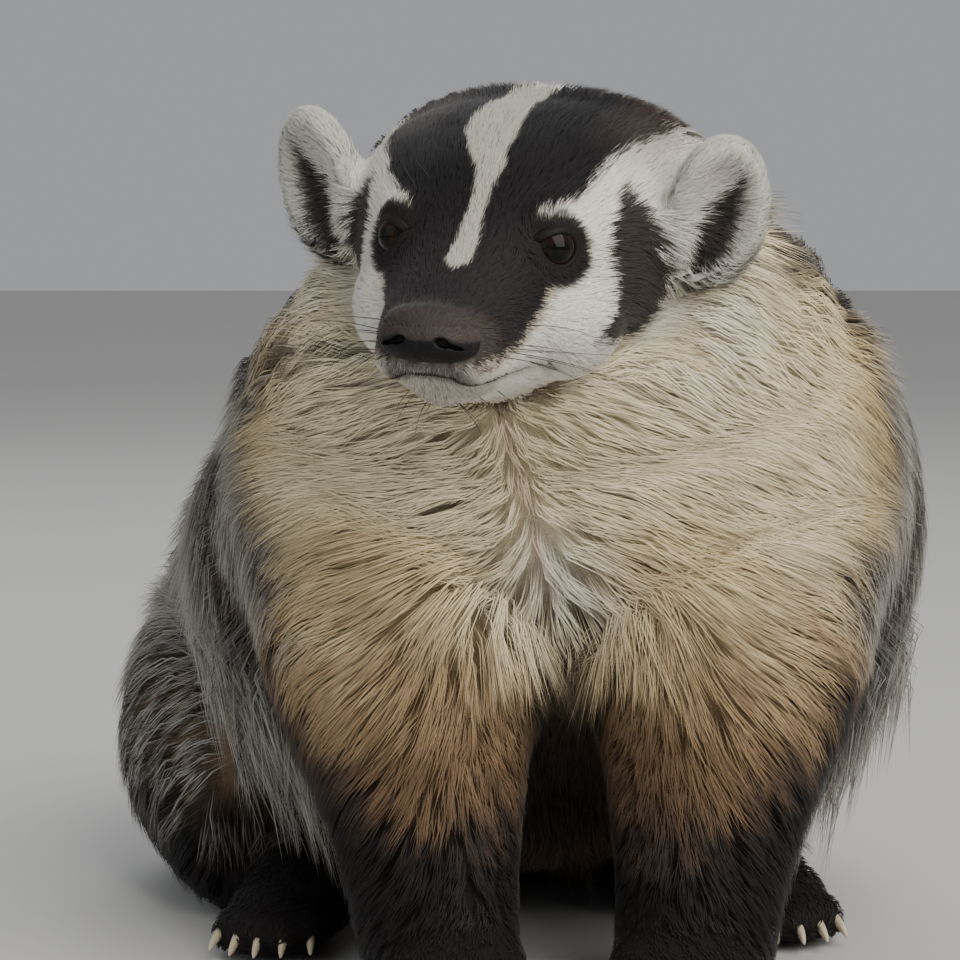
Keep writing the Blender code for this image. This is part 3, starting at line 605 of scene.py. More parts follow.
@dataclass
class Mass:
    """A rounded mass along a smooth line: x, y, z, half width, half depth and depth of coat in each row."""

    part: Part
    rows: Array
    side: int = 0

    def surface(self) -> Shape:
        """The mass without its coat, with rounded ends."""
        places = [Vector(row[:3]) for row in self.rows]
        rings = []
        for index, row in enumerate(self.rows):
            along = (places[min(index + 1, len(places) - 1)] - places[max(index - 1, 0)]).normalized()
            side = (Vector((1, 0, 0)) - along * along.x).normalized()
            caps = [0.0]
            if index == 0:
                caps = [-1 + step / END_SECTIONS for step in range(1, END_SECTIONS + 1)]
            elif index == len(self.rows) - 1:
                caps = [step / END_SECTIONS for step in range(END_SECTIONS)]
            for cap in caps:
                shrink = math.sqrt(1 - cap * cap)
                centre = places[index] + along * cap * min(row[3], row[4])
                rings.append(oval(centre, side, along.cross(side), row[3] * shrink, row[4] * shrink))
        return loft(rings)

    def nearest(self, points: Array) -> Tuple[Array, Array, Array]:
        """Finds each place along the mass.

        Args:
            points: Places, one a row.

        Returns:
            How far each is from the surface, its row, and the mass's direction there.
        """
        gaps = np.linalg.norm(points[:, None] - self.rows[None, :, :3], axis=2)
        gaps -= (self.rows[:, 3] + self.rows[:, 4])[None] / 2
        index = gaps.argmin(axis=1)
        along = unit(np.gradient(self.rows[:, :3], axis=0))
        return gaps[np.arange(len(points)), index], index, along[index]

    def unwrap(self, points: Array) -> Array:
        """The angle of each place round the mass and how far along it is, both from 0 to 1."""
        _, index, along = self.nearest(points)
        arm = points - self.rows[index, :3]
        side = unit(np.array((1.0, 0.0, 0.0)) - along * along[:, :1])
        deep = np.cross(along, side)
        angle = np.arctan2((arm * deep).sum(axis=1), (arm * side).sum(axis=1))
        step = np.linalg.norm(np.diff(self.rows[:, :3], axis=0), axis=1)
        length = np.concatenate([[0.0], np.cumsum(step)])
        reach = length[index] + (arm * along).sum(axis=1)
        return np.column_stack([angle / (2 * math.pi) + 0.5, reach / length[-1] * 0.6 + 0.2])


@dataclass
class Head:
    """The head: the skull's loft with brows, cheeks, lips and chin, and where its details sit."""

    place: HeadPlace = HeadPlace()
    rows: Rows = (
        (-0.05, 0.016, -0.007, -0.03), (-0.04, 0.02, -0.004, -0.037),
        (-0.025, 0.0225, 0.003, -0.043), (-0.012, 0.028, 0.0095, -0.046),
        (0.0, 0.036, 0.017, -0.0475), (0.015, 0.0455, 0.025, -0.048),
        (0.035, 0.054, 0.0305, -0.048), (0.055, 0.058, 0.0322, -0.046),
        (0.075, 0.056, 0.0295, -0.043), (0.092, 0.048, 0.024, -0.038),
    )
    squareness: float = 2.35
    chin: Triples = ((0, -0.03, -0.035), (0.012, 0.014, 0.008))
    lip: Triples = ((0.0085, -0.042, -0.024), (0.0115, 0.012, 0.009))
    brow: Triples = ((0.022, 0.006, 0.0075), (0.012, 0.013, 0.0075))
    brow_turn: Triple = (0, 20, 30)
    cheek: Triples = ((0.025, 0.015, -0.024), (0.02, 0.03, 0.0215))
    bridge: Triples = ((0.0, -0.051, -0.0105), (0.0145, 0.0088, 0.006))
    back_plane: Triples = ((0.0, 0.062, 0.0), (0.0, -0.86, 0.5))
    jaw_level: float = -0.047
    chart_middle: Triple = (0.0, 0.03, -0.006)
    eye: Triple = (0.0241, -0.0014, 0.001)
    nose: Triple = (0.0006, -0.05, -0.0162)
    nose_half: Triple = (0.015, 0.0112, 0.0066)
    nose_tilt: float = -12.0
    mouth: Rows = (
        (0.0, -0.053, -0.0285), (0.006, -0.0525, -0.028), (0.0115, -0.048, -0.0284),
        (0.016, -0.036, -0.0304), (0.0205, -0.02, -0.0338), (0.0245, -0.012, -0.0345),
        (0.0275, -0.007, -0.033),
    )

    def surfaces(self) -> List[Shape]:
        """The masses of the head at the coat's outside, in the design."""
        turn = self.place.matrix()
        rings = []
        for y, half_width, top, bottom in smooth_rows(self.rows, 4):
            ring = oval(Vector((0, y, (top + bottom) / 2)), Vector((1, 0, 0)), Vector((0, 0, 1)),
                        half_width, (top - bottom) / 2, power=self.squareness)
            rings.append([turn @ point for point in ring])
        masses = [loft(rings), ball(Vector(self.chin[0]), self.chin[1], turn),
                  ball(Vector(self.bridge[0]), self.bridge[1], turn)]
        for side in SIDES:
            for (middle, half), spin in ((self.lip, (0, 0, 0)), (self.brow, self.brow_turn),
                                         (self.cheek, (0, 0, 0))):
                centre = Vector((side * middle[0], middle[1], middle[2]))
                masses.append(ball(centre, half, turn, tuple(side * angle for angle in spin)))
        return masses

    def weight(self, local: Array) -> Array:
        """How far places of its frame belong to the head, from 0 to 1."""
        facing = unit(np.array(self.back_plane[1]))
        ahead = (local - np.array(self.back_plane[0])) @ facing
        jaw = smoothstep(self.jaw_level - 0.004, self.jaw_level + 0.003, local[:, 2])
        return smoothstep(-0.01, 0.006, ahead) * jaw

    def eye_gap(self, local: Array) -> Array:
        """How far places of its frame are from the nearer eye's middle."""
        mirrored = np.column_stack([np.abs(local[:, 0]), local[:, 1:]])
        return np.linalg.norm(mirrored - np.array(self.eye), axis=1)

    def nose_gap(self, local: Array) -> Array:
        """How far out of the nose's ellipsoid places are, 1 being its surface."""
        tilt = math.radians(self.nose_tilt)
        arm = local - np.array(self.nose)
        y = arm[:, 1] * math.cos(tilt) + arm[:, 2] * math.sin(tilt)
        z = arm[:, 2] * math.cos(tilt) - arm[:, 1] * math.sin(tilt)
        return np.linalg.norm(np.column_stack([arm[:, 0], y, z]) / np.array(self.nose_half), axis=1)

    def mouth_line(self) -> Array:
        """The closed mouth's line from corner to corner, in the head's frame."""
        left = smooth_rows(self.mouth, 5)
        right = left[:0:-1] * np.array((-1.0, 1.0, 1.0))
        return np.vstack([right, left])

    def mouth_gap(self, local: Array) -> Array:
        """How far places of its frame are from the mouth's line."""
        gaps = np.full(len(local), 1.0)
        near = (local[:, 1] < 0.01) & (local[:, 2] < 0.0)
        line = self.mouth_line()
        if near.any():
            gaps[near] = np.linalg.norm(local[near][:, None] - line[None], axis=2).min(axis=1)
        return gaps

    def depth(self, local: Array) -> Array:
        """How deep the head's coat is.

        Args:
            local: Places in the head's frame.

        Returns:
            The depth at each place.
        """
        x, y, z = np.abs(local[:, 0]), local[:, 1], local[:, 2]
        base = np.interp(y, (-0.05, -0.03, -0.01, 0.01, 0.035, 0.06, 0.09),
                         (0.0007, 0.0009, 0.0014, 0.0021, 0.0034, 0.005, 0.0065))
        cheek = smoothstep(0.0, 0.035, y) * smoothstep(0.012, -0.015, z) * smoothstep(0.015, 0.04, x)
        deep = base + 0.0045 * cheek
        return np.minimum(deep, 0.0008 + 0.14 * np.maximum(0.0, self.eye_gap(local) - 0.0085))

    def lie(self, local: Array) -> Array:
        """Which way the head's coat lies, in the head's frame.

        Args:
            local: Places in the head's frame.

        Returns:
            A heading for each, not yet laid on the surface.
        """
        x, y, z = local[:, 0], local[:, 1], local[:, 2]
        aside = np.clip(x / 0.012, -1, 1)
        cheek = smoothstep(-0.005, 0.03, y) * smoothstep(0.016, -0.01, z)
        muzzle = smoothstep(0.0, -0.025, y) * smoothstep(-0.004, -0.018, z)
        heading = columns(aside * (0.14 + 0.3 * cheek), 1.0, -0.62 * cheek - 0.55 * muzzle)
        near = smoothstep(0.018, 0.009, self.eye_gap(local))
        eye = columns(np.sign(x) * self.eye[0], *self.eye[1:])
        away = unit(local - eye) * 1.3 + np.array((0.0, 0.5, 0.0))
        return blend(unit(heading), unit(away), near)

    def chart(self, local: Array) -> Array:
        """The bearing and height in degrees of places of its frame, with both sides laid together."""
        arm = local - np.array(self.chart_middle)
        bearing = np.degrees(np.arctan2(np.abs(arm[:, 0]), -arm[:, 1]))
        height = np.degrees(np.arctan2(arm[:, 2], np.hypot(arm[:, 0], arm[:, 1])))
        return columns(bearing, height)

    def unwrap(self, points: Array) -> Array:
        """The bearing and height of each place round the head, both from 0 to 1."""
        arm = self.place.inside(points) - np.array(self.chart_middle)
        bearing = np.arctan2(arm[:, 0], -arm[:, 1]) / (2 * math.pi) + 0.5
        height = np.arctan2(arm[:, 2], np.hypot(arm[:, 0], arm[:, 1])) / math.pi + 0.5
        return columns(bearing, height)


@dataclass
class Ear:
    """A rounded ear flap with its cup, standing off the side of the head."""

    head: Head
    side: int
    seat: Triple = (0.0655, 0.04, 0.004)
    half: Triple = (0.0153, 0.0092, 0.0252)
    cup: Triple = (0.0116, 0.0064, 0.021)
    cup_back: float = -0.0052
    turns: Triple = (4.0, 8.0, 24.0)
    tuck: float = 0.018

    def matrix(self) -> Matrix:
        """The ear's frame: x outwards, y backwards, z up the flap."""
        back, lean, turn = self.turns
        spin = Euler([math.radians(angle) for angle in (back, self.side * lean, self.side * turn)])
        seat = Vector((self.side * self.seat[0], self.seat[1], self.seat[2]))
        return self.head.place.matrix() @ Matrix.Translation(seat) @ spin.to_matrix().to_4x4()

    def inside(self, points: Array) -> Array:
        """Places of the design as shares of the ear's half sizes, x outwards on either side."""
        turn = np.array(self.matrix().inverted())
        local = (points @ turn[:3, :3].T + turn[:3, 3]) * np.array((self.side, 1.0, 1.0))
        local[:, 0] += self.tuck * np.clip(-0.2 - local[:, 2] / self.half[2], 0, 0.8) ** 2
        return local / np.array(self.half)

    def turned(self, vectors: Array) -> Array:
        """Directions of the ear's frame, x outwards, seen in the design."""
        return (vectors * np.array((self.side, 1.0, 1.0))) @ np.array(self.matrix().to_3x3()).T

    def surface(self) -> Shape:
        """The flap: a bowed back, a rolled rim and a cup in front, its foot drawn in to the head."""
        outer = [(math.sin(a), math.cos(a) * self.half[1]) for a in np.linspace(0.06, math.pi / 2, 8)]
        outer += [(0.99, -0.0016), (0.95, -0.0034), (0.88, -0.0046), (0.8, -0.0044)]
        inner = [(math.sin(a), self.cup_back + self.cup[1] * math.cos(a))
                 for a in np.linspace(math.pi / 2 - 0.2, 0.08, 8)]
        rings = [[Vector((half[0] * share * math.cos(a), level, half[2] * share * math.sin(a)))
                  for a in np.linspace(0, 2 * math.pi, 28, endpoint=False)]
                 for half, profile in ((self.half, outer), (self.cup, inner)) for share, level in profile]
        for ring in rings:
            for point in ring:
                point.x -= self.side * self.tuck * min(0.8, max(0.0, -0.2 - point.z / self.half[2])) ** 2
        shape = loft(rings)
        shape.transform(self.matrix())
        return shape


@dataclass
class Body:
    """Everything behind the head: rows of x, y, z, half width, half depth and depth of the coat."""

    head: Head
    torso: Rows = (
        (-0.002, 0.002, 0.206, 0.084, 0.056, 0.021), (0.002, 0.028, 0.17, 0.1, 0.076, 0.025),
        (-0.001, 0.088, 0.138, 0.104, 0.086, 0.027), (-0.02, 0.162, 0.112, 0.098, 0.08, 0.026),
        (-0.036, 0.234, 0.086, 0.092, 0.07, 0.024), (-0.046, 0.29, 0.064, 0.058, 0.05, 0.022),
    )
    nape: Triple = (0.0, 0.055, -0.016)
    nape_sizes: Triple = (0.05, 0.04, 0.008)
    neck: Rows = (
        (-0.006, 0.004, 0.225, 0.066, 0.048, 0.016), (-0.002, 0.024, 0.208, 0.083, 0.06, 0.019),
    )
    tail: Rows = (
        (-0.047, 0.29, 0.06, 0.026, 0.022, 0.018), (-0.054, 0.326, 0.04, 0.017, 0.015, 0.02),
        (-0.066, 0.366, 0.026, 0.011, 0.009, 0.018), (-0.082, 0.404, 0.019, 0.007, 0.006, 0.013),
    )
    foreleg: Rows = (
        (0.056, 0.022, 0.16, 0.04, 0.044, 0.018), (0.05, -0.006, 0.112, 0.037, 0.04, 0.014),
        (0.0445, -0.016, 0.072, 0.0285, 0.03, 0.01), (0.042, -0.024, 0.04, 0.024, 0.025, 0.007),
        (0.04, -0.032, 0.018, 0.0235, 0.024, 0.004),
    )
    forepaw: Rows = (
        (0.04, -0.02, 0.015, 0.02, 0.015, 0.003), (0.038, -0.042, 0.0145, 0.024, 0.015, 0.003),
        (0.0355, -0.062, 0.0105, 0.022, 0.011, 0.002),
    )
    foreleg_shift: float = 0.002
    thigh: Rows = (
        (0.052, 0.25, 0.07, 0.036, 0.04, 0.02), (0.066, 0.205, 0.064, 0.046, 0.052, 0.02),
        (0.074, 0.15, 0.054, 0.04, 0.046, 0.018), (0.076, 0.11, 0.04, 0.026, 0.034, 0.012),
    )
    hindpaw: Rows = (
        (0.07, 0.15, 0.016, 0.015, 0.015, 0.005), (0.08, 0.11, 0.015, 0.0165, 0.015, 0.004),
        (0.088, 0.078, 0.012, 0.019, 0.0125, 0.002), (0.092, 0.058, 0.009, 0.0165, 0.0095, 0.002),
    )
    hind_centre: float = -0.032
    hindfoot_shift: Tuple[Pair, Pair] = ((-0.006, -0.022), (-0.012, 0.0))
    toe_half: Triple = (0.0055, 0.011, 0.0075)
    fan: Pair = (-0.001, 0.032)

    @staticmethod
    def mirrored(rows: Rows, side: int, centre: float = 0.0, ahead: float = 0.0) -> List[Tuple[float, ...]]:
        """A left limb's rows on the given side of a centre line, moved ahead."""
        return [(centre + side * row[0], row[1] + ahead, *row[2:]) for row in rows]

    def paw_rows(self, part: Part, side: int) -> List[Tuple[float, ...]]:
        """The rows of a forepaw or a hind foot."""
        if part is Part.FOREPAW:
            return self.mirrored(self.forepaw, side, self.foreleg_shift)
        aside, ahead = self.hindfoot_shift[(side + 1) // 2]
        return self.mirrored(self.hindpaw, side, aside, ahead)

    def masses(self) -> List[Mass]:
        """All the masses, each with its part and side."""
        nape = (*(self.head.place.matrix() @ Vector(self.nape)), *self.nape_sizes)
        limbs = [(Part.TORSO, self.torso, 0), (Part.NECK, (nape, *self.neck), 0), (Part.TAIL, self.tail, 0)]
        for side in SIDES:
            limbs += [(Part.FORELEG, self.mirrored(self.foreleg, side, self.foreleg_shift), side),
                      (Part.FOREPAW, self.paw_rows(Part.FOREPAW, side), side),
                      (Part.THIGH, self.mirrored(self.thigh, side, self.hind_centre), side),
                      (Part.HINDPAW, self.paw_rows(Part.HINDPAW, side), side)]
        return [Mass(part, smooth_rows(rows, LIMB_STEPS), side) for part, rows, side in limbs]

    def toes(self, part: Part, side: int) -> List[Tuple[Vector, Vector]]:
        """Where a paw's toes sit.

        Args:
            part: Forepaw or hind foot.
            side: 1 for the animal's left, -1 for its right.

        Returns:
            Each toe's middle and heading.
        """
        rows = self.paw_rows(part, side)
        tip, back = Vector(rows[-1][:3]), Vector(rows[-2][:3])
        ahead = Vector((tip.x - back.x, tip.y - back.y, 0)).normalized()
        across = Vector((-ahead.y, ahead.x, 0))
        result = []
        for index in range(TOES):
            share = 2 * index / (TOES - 1) - 1
            middle = tip + across * share * rows[-1][3] * 0.86 + ahead * (0.01 - 0.008 * share * share)
            middle.z = tip.z
            result.append((middle, (ahead + across * share * 0.25).normalized()))
        return result

    def surfaces(self) -> List[Shape]:
        """The masses of the body without its coat."""
        found = [mass.surface() for mass in self.masses()]
        for side in SIDES:
            for part in (Part.FOREPAW, Part.HINDPAW):
                found += [ball(middle, self.toe_half, detail=2) for middle, _ in self.toes(part, side)]
        return found

    def between(self, points: Array, normals: Array) -> Array:
        """How far places lie in the gap between the arms, from 0 to 1."""
        aside = np.abs(points[:, 0] - self.foreleg_shift)
        inner = smoothstep(0.15, 0.75, -normals[:, 0] * np.sign(points[:, 0] - self.foreleg_shift))
        low = smoothstep(0.126, 0.108, points[:, 2]) * smoothstep(0.06, 0.03, points[:, 1])
        return low * np.maximum(inner * smoothstep(0.045, 0.03, aside), smoothstep(0.022, 0.008, aside))

    def lie(self, points: Array, normals: Array, parts: Array, along: Array) -> Array:
        """Which way the body's coat lies.

        Args:
            points: Places on the skin.
            normals: The skin's normals there.
            parts: Each one's part.
            along: The direction of its mass.

        Returns:
            A heading for each, not yet laid on the surface.
        """
        x, z = points[:, 0], points[:, 2]
        front = smoothstep(0.15, 0.75, -normals[:, 1])
        under = smoothstep(0.1, 0.7, np.abs(normals[:, 0])) * smoothstep(0.6, 0.1, normals[:, 2])
        heading = columns(0.2 * np.sign(x), 0.95 - 0.35 * under, -0.25 - 0.55 * under)
        off = x - np.interp(z, *PARTING)
        aside = np.clip(off / 0.008, -1, 1)
        chest = columns(aside, 0.15,
                        -0.22 - 0.55 * smoothstep(0.02, 0.11, np.abs(off)) - 0.9 * (1 - np.abs(aside)))
        side = np.where(x > self.fan[0], 1.0, -1.0)
        out = np.clip((side * (x - self.fan[0]) - self.fan[1]) / 0.04, -0.35, 1.0)
        high = smoothstep(0.06, 0.135, z)
        arm = columns(side * (0.12 + 0.95 * out * (0.35 + 0.65 * high)), 0.25,
                      -1.0 + 0.62 * np.clip(out, 0, 1) * high)
        chest = blend(unit(chest), unit(arm), smoothstep(0.158, 0.098, z))
        heading = blend(unit(heading), unit(chest), front)
        leg = blend(unit(columns(0.3 * side, 0.4, -1.0)), unit(arm), front)
        thigh = columns(0.0 * side, 0.65, -0.7)
        paw = columns(0.2 * np.sign(x), -1.0, -0.35)
        for part, given in ((Part.TAIL, along), (Part.FORELEG, leg), (Part.THIGH, thigh),
                            (Part.FOREPAW, paw), (Part.HINDPAW, paw)):
            chosen = parts == part
            heading[chosen] = given[chosen]
        return unit(heading)


@dataclass
class Markings:
    """The animal's colours: one set of marks that skin and coat share."""

    head: Head
    ears: Dict[int, Ear]
    mask: Rows = (
        (0, -11.6), (7.4, -11.4), (12.0, -12.6), (15.3, -13.8), (20.6, -15.3), (25.7, -12.4), (30.0, -7.4),
        (33.0, -1.0),
        (44, 0), (52, 6), (52, 13), (45, 19), (37, 19.5), (31, 21), (32.7, 24.6), (36.7, 26.6), (53, 29.0),
        (66.7, 32.6), (77, 34.6), (87, 35.8), (105, 34), (119, 28.6), (135, 21), (150, 14), (190, 10),
        (190, 95), (-10, 95), (-10, -11.6),
    )
    badge: Rows = (
        (85, 26.4), (73.9, 21.8), (64.2, 12.1), (62.8, 1.8), (64.7, -10), (60.5, -16.1), (48.6, -22.1),
        (60, -28), (78, -33), (90, -34), (95, -29), (97, -22), (95, -11.5), (90.9, 0.6), (88.2, 14.6),
    )
    # The dark opening inside each ear, in shares of the ear's half sizes: painted shade of the ear's hollow.
    slit: Rows = (
        (0.38, 0.62), (0.02, 0.28), (-0.34, 0.02), (-0.52, -0.35), (-0.56, -0.8), (-0.5, -1.5),
        (-0.1, -1.6), (0.2, -0.95), (0.34, -0.45), (0.42, 0.2),
    )
    stripe: Rows = (
        (-0.029, 0.0012, 0.0), (-0.026, 0.0012, 0.0038), (-0.02, 0.002, 0.0038), (-0.008, 0.0013, 0.0025),
        (0.003, 0.0011, 0.0027), (0.01, 0.0005, 0.0046), (0.019, -0.0023, 0.0062), (0.03, -0.005, 0.0085),
        (0.043, -0.006, 0.008), (0.074, -0.0058, 0.0066), (0.1, -0.004, 0.0056), (0.17, 0.0, 0.003),
    )
    white: Array = tone(247, 243, 231)
    # The head stripe's white, dimmed to grey as painted shade for the weaker light that falls on it.
    shaded_stripe_white: Array = tone(192, 188, 175)
    cream: Array = tone(244, 229, 191)
    ochre: Array = tone(214, 184, 132)
    tan: Array = tone(190, 162, 124)
    rust: Array = tone(122, 97, 72)
    brown: Array = tone(78, 64, 54)
    dark: Array = tone(34, 30, 29)
    crown: Array = tone(26, 23, 25)
    muzzle: Array = tone(44, 38, 40)
    velvet: Array = tone(82, 72, 67)
    lip_tone: Array = tone(76, 66, 60)
    badge_tone: Array = tone(62, 56, 53)
    grey: Array = tone(212, 208, 198)
    pink: Array = tone(196, 160, 146)

    @staticmethod
    def within(points: Array, corners: Rows, soft: float) -> Array:
        """How far points of a plane are inside an outline.

        Args:
            points: The points, one a row.
            corners: The outline's corners in order.
            soft: How wide its edge is.

        Returns:
            From 0 outside to 1 inside.
        """
        outline = np.array(corners, dtype=float)
        inside = np.zeros(len(points), dtype=bool)
        gap = np.full(len(points), 1e9)
        for start, end in zip(outline, np.roll(outline, -1, axis=0)):
            step = end - start
            share = np.clip(((points - start) @ step) / max(step @ step, 1e-9), 0, 1)
            gap = np.minimum(gap, np.linalg.norm(points - start - share[:, None] * step, axis=1))
            rises = (start[1] > points[:, 1]) != (end[1] > points[:, 1])
            cross = start[0] + (points[:, 1] - start[1]) * step[0] / (step[1] if step[1] else 1e-9)
            inside ^= rises & (points[:, 0] < cross)
        return np.clip(0.5 + np.where(inside, gap, -gap) / soft, 0, 1)

    def head_colour(self, points: Array, choice: Array) -> Array:
        """Colours of the head's coat.

        Args:
            points: Places in the design.
            choice: From 0 to 1 for each, which settles the edges.

        Returns:
            Each one's colours near the root and at the tip.
        """
        local = self.head.place.inside(points)
        x, y, z = np.abs(local[:, 0]), local[:, 1], local[:, 2]
        mix = np.clip(choice, 0, 1)
        choice = 0.2 + 0.6 * choice
        centre, width = (np.interp(y, [row[0] for row in self.stripe], [row[k] for row in self.stripe])
                         for k in (1, 2))
        wave = ripple(local, 0.011, 3)
        aside = -0.75 * np.minimum(centre, 0.0) + 0.0035 * (local[:, 0] < 0) * smoothstep(-0.005, 0.02, y)
        chart = self.head.chart(local + aside[:, None] * np.array((1.0, 0.0, 0.0)))
        chart += columns(wave, ripple(local, 0.009, 4)) * 1.1
        cheek = smoothstep(-0.026, -0.046, z) * smoothstep(-0.01, 0.03, y)
        pale = blend(self.white, self.cream, np.clip(0.9 * cheek, 0, 1))
        behind = smoothstep(0.04, 0.054, x) * smoothstep(0.03, 0.048, y) * smoothstep(0.02, -0.014, z)
        pale = blend(pale, self.ochre, 0.35 * behind)
        above = smoothstep(0.006, 0.026, z) * smoothstep(0.024, 0.05, y)
        pale = blend(pale, self.rust, 0.62 * above)
        middle = smoothstep(0.0175, 0.0115, x) * smoothstep(-0.026, -0.036, y)
        chin = middle * smoothstep(-0.028, -0.0295, z)
        pale = blend(pale, blend(self.rust, self.white * 0.85, mix), 0.85 * chin)
        lip = middle * (1 - chin) * smoothstep(-0.0185, -0.0215, z)
        pale = blend(pale, blend(self.lip_tone, self.grey * 0.8, mix ** 2), 0.95 * lip)
        gap = self.head.eye_gap(local) + 0.0004 * wave
        gap -= 0.0016 * smoothstep(0.0, -0.006, z - self.head.eye[2])
        dark = blend(self.crown, self.muzzle, smoothstep(0.005, -0.03, y))
        far = smoothstep(0.018, 0.036, x + 0.003 * wave) * smoothstep(0.026, 0.055, y)
        dark = blend(dark, self.brown, 0.6 * far)
        dark = blend(dark, self.velvet, 0.75 * smoothstep(1.85, 1.2, self.head.nose_gap(local)))
        share = self.within(chart, self.mask, 6.0)
        mask = smoothstep(-0.2, 0.2, share - choice)
        fringe = 2.2 * share * (1 - share) * smoothstep(0.02, 0.0, z) * (1 - middle)
        pale = blend(pale, self.tan, fringe)
        ends = np.stack([blend(pale, dark * 0.8, mask), blend(pale, dark * 1.15, mask)], axis=1)
        badge = smoothstep(-0.2, 0.2, self.within(chart, self.badge, 6.0) - choice)
        lay(ends, badge, self.badge_tone * 0.85, self.badge_tone * 1.1)
        ring = smoothstep(0.0125, 0.0105, gap + 0.0012 * (choice - 0.5))
        lay(ends, ring, self.dark, self.dark * 1.3)
        edge = (width - np.abs(local[:, 0] - centre) + 0.0004 * wave) / 0.0022
        stripe = smoothstep(-0.2, 0.2, np.clip(0.5 + edge, 0, 1) - choice) * (z > -0.004) * (y > -0.03)
        # The white stripe down the head, in a tone greyed by painted shade.
        lay(ends, stripe, self.shaded_stripe_white, self.shaded_stripe_white * 1.08)
        seam = 0.9 * np.exp(-(self.head.mouth_gap(local) / 0.0018) ** 2)
        for end, share in enumerate((seam, 0.9 * seam)):
            ends[:, end] = blend(ends[:, end], self.brown, share)
        return ends

    def ear_colour(self, points: Array, side: int, choice: Array) -> Array:
        """Colours of an ear's coat, with painted shade darkening its opening.

        Args:
            points: Places in the design.
            side: Which ear.
            choice: From 0 to 1 for each.

        Returns:
            Each one's colours near the root and at the tip.
        """
        local = self.ears[side].inside(points)
        x, y, z = local.T
        wave = 0.05 * ripple(local, 0.5, 6)
        slit = self.within(columns(x + wave, z - wave), self.slit, 0.36)
        back = smoothstep(0.2, 0.6, y) * smoothstep(0.9, 0.6, np.hypot(x, z))
        ends = np.tile(np.stack([self.white * 0.72, self.white * 0.86]), (len(points), 1, 1))
        # The ear's opening painted dark: painted shade of its hollow.
        inner = smoothstep(-0.25, 0.25, slit - 0.25 - 0.5 * choice) * (y < 0.6)
        lay(ends, inner, self.dark, self.badge_tone * 1.2)
        ends[back > choice] = np.stack([self.crown, self.brown])
        return ends

    def stops(self, points: Array, normals: Array, parts: Array, sides: Array, choice: Array) -> Array:
        """Colours along the hair, anywhere on the animal.

        Args:
            points: Places in the design.
            normals: The skin's normals there.
            parts: Each one's part.
            sides: Each one's side.
            choice: From 0 to 1 for each.

        Returns:
            Each one's colours at the root, the middle and the tip.
        """
        x, y, z = points.T
        patch = ripple(points, 0.045, 8)
        fine = ripple(points, 0.016, 9)
        limit = np.interp(z, (0.065, 0.1, 0.14, 0.18, 0.21, 0.24),
                          (0.08, 0.085, 0.089, 0.093, 0.094, 0.084))
        front = smoothstep(0.1, 0.5, -normals[:, 1] + 0.12 * patch)
        front *= smoothstep(0.006, -0.006, np.abs(x - 0.002) - limit + 0.004 * patch)
        front *= smoothstep(0.12, 0.085, y)
        height = z + 0.008 * patch + 0.004 * fine
        centre = np.exp(-((x + 0.002) / 0.026) ** 2)
        low = smoothstep(0.148, 0.106, height + 0.022 * centre)
        chest = blend(self.cream, self.tan, low)
        warm = np.exp(-((x - 0.03) / 0.03) ** 2 - ((z - 0.142) / 0.022) ** 2)
        warm += np.exp(-((x + 0.062) / 0.032) ** 2 - ((z - 0.14) / 0.02) ** 2)
        warm += 1.3 * smoothstep(0.078, 0.096, np.abs(x)) * smoothstep(0.24, 0.2, z)
        warm += 0.5 * smoothstep(0.17, 0.21, z) * smoothstep(0.05, 0.08, np.abs(x))
        whorl = np.exp(-((x + 0.001) / 0.018) ** 2 - ((z - 0.14) / 0.016) ** 2)
        for given, share in ((self.ochre, np.clip(0.65 * warm + 0.12 * patch, 0, 0.8)),
                             (self.white, 0.8 * whorl), (self.rust, smoothstep(0.118, 0.076, height)),
                             (self.brown, smoothstep(0.085, 0.05, height))):
            chest = blend(chest, given, share)
        seam = np.exp(-((x - np.interp(z, *PARTING)) / 0.003) ** 2) * smoothstep(0.128, 0.145, z)
        chest = blend(chest, self.pink, 0.55 * seam * smoothstep(0.21, 0.18, z))
        mottle = smoothstep(0.2, 0.9, 0.45 + 0.4 * patch)
        grizzle = blend(self.tan * 0.8, self.brown * 1.2, mottle)
        pale = self.grey * 0.8
        stops = np.stack([blend(grizzle, chest * 0.92, front), blend(self.brown * 0.65, chest, front),
                          blend(pale, chest * 1.06, front)], axis=1)
        plain = (choice > 0.78) & (front < 0.8)
        stops[plain, 1] = blend(stops[:, 1], pale * 0.8, np.full(len(points), 0.8))[plain]
        belly = smoothstep(-0.35, -0.75, normals[:, 2]) * (parts == Part.TORSO)
        lay(stops, belly * 0.8, self.rust * 0.7)
        leg = np.isin(parts, (Part.FORELEG, Part.FOREPAW))
        outer = np.maximum(0.0, (x - sides * 0.046) * sides - 0.008)
        level = height - 1.2 * outer
        tone = blend(self.tan * 0.95, self.rust, smoothstep(0.118, 0.072, height))
        tone = blend(tone, self.brown, smoothstep(0.076, 0.056, level))
        tone = blend(tone, self.dark * 0.85, smoothstep(0.064, 0.042, level))
        leg_share = leg * smoothstep(0.125, 0.105, height)
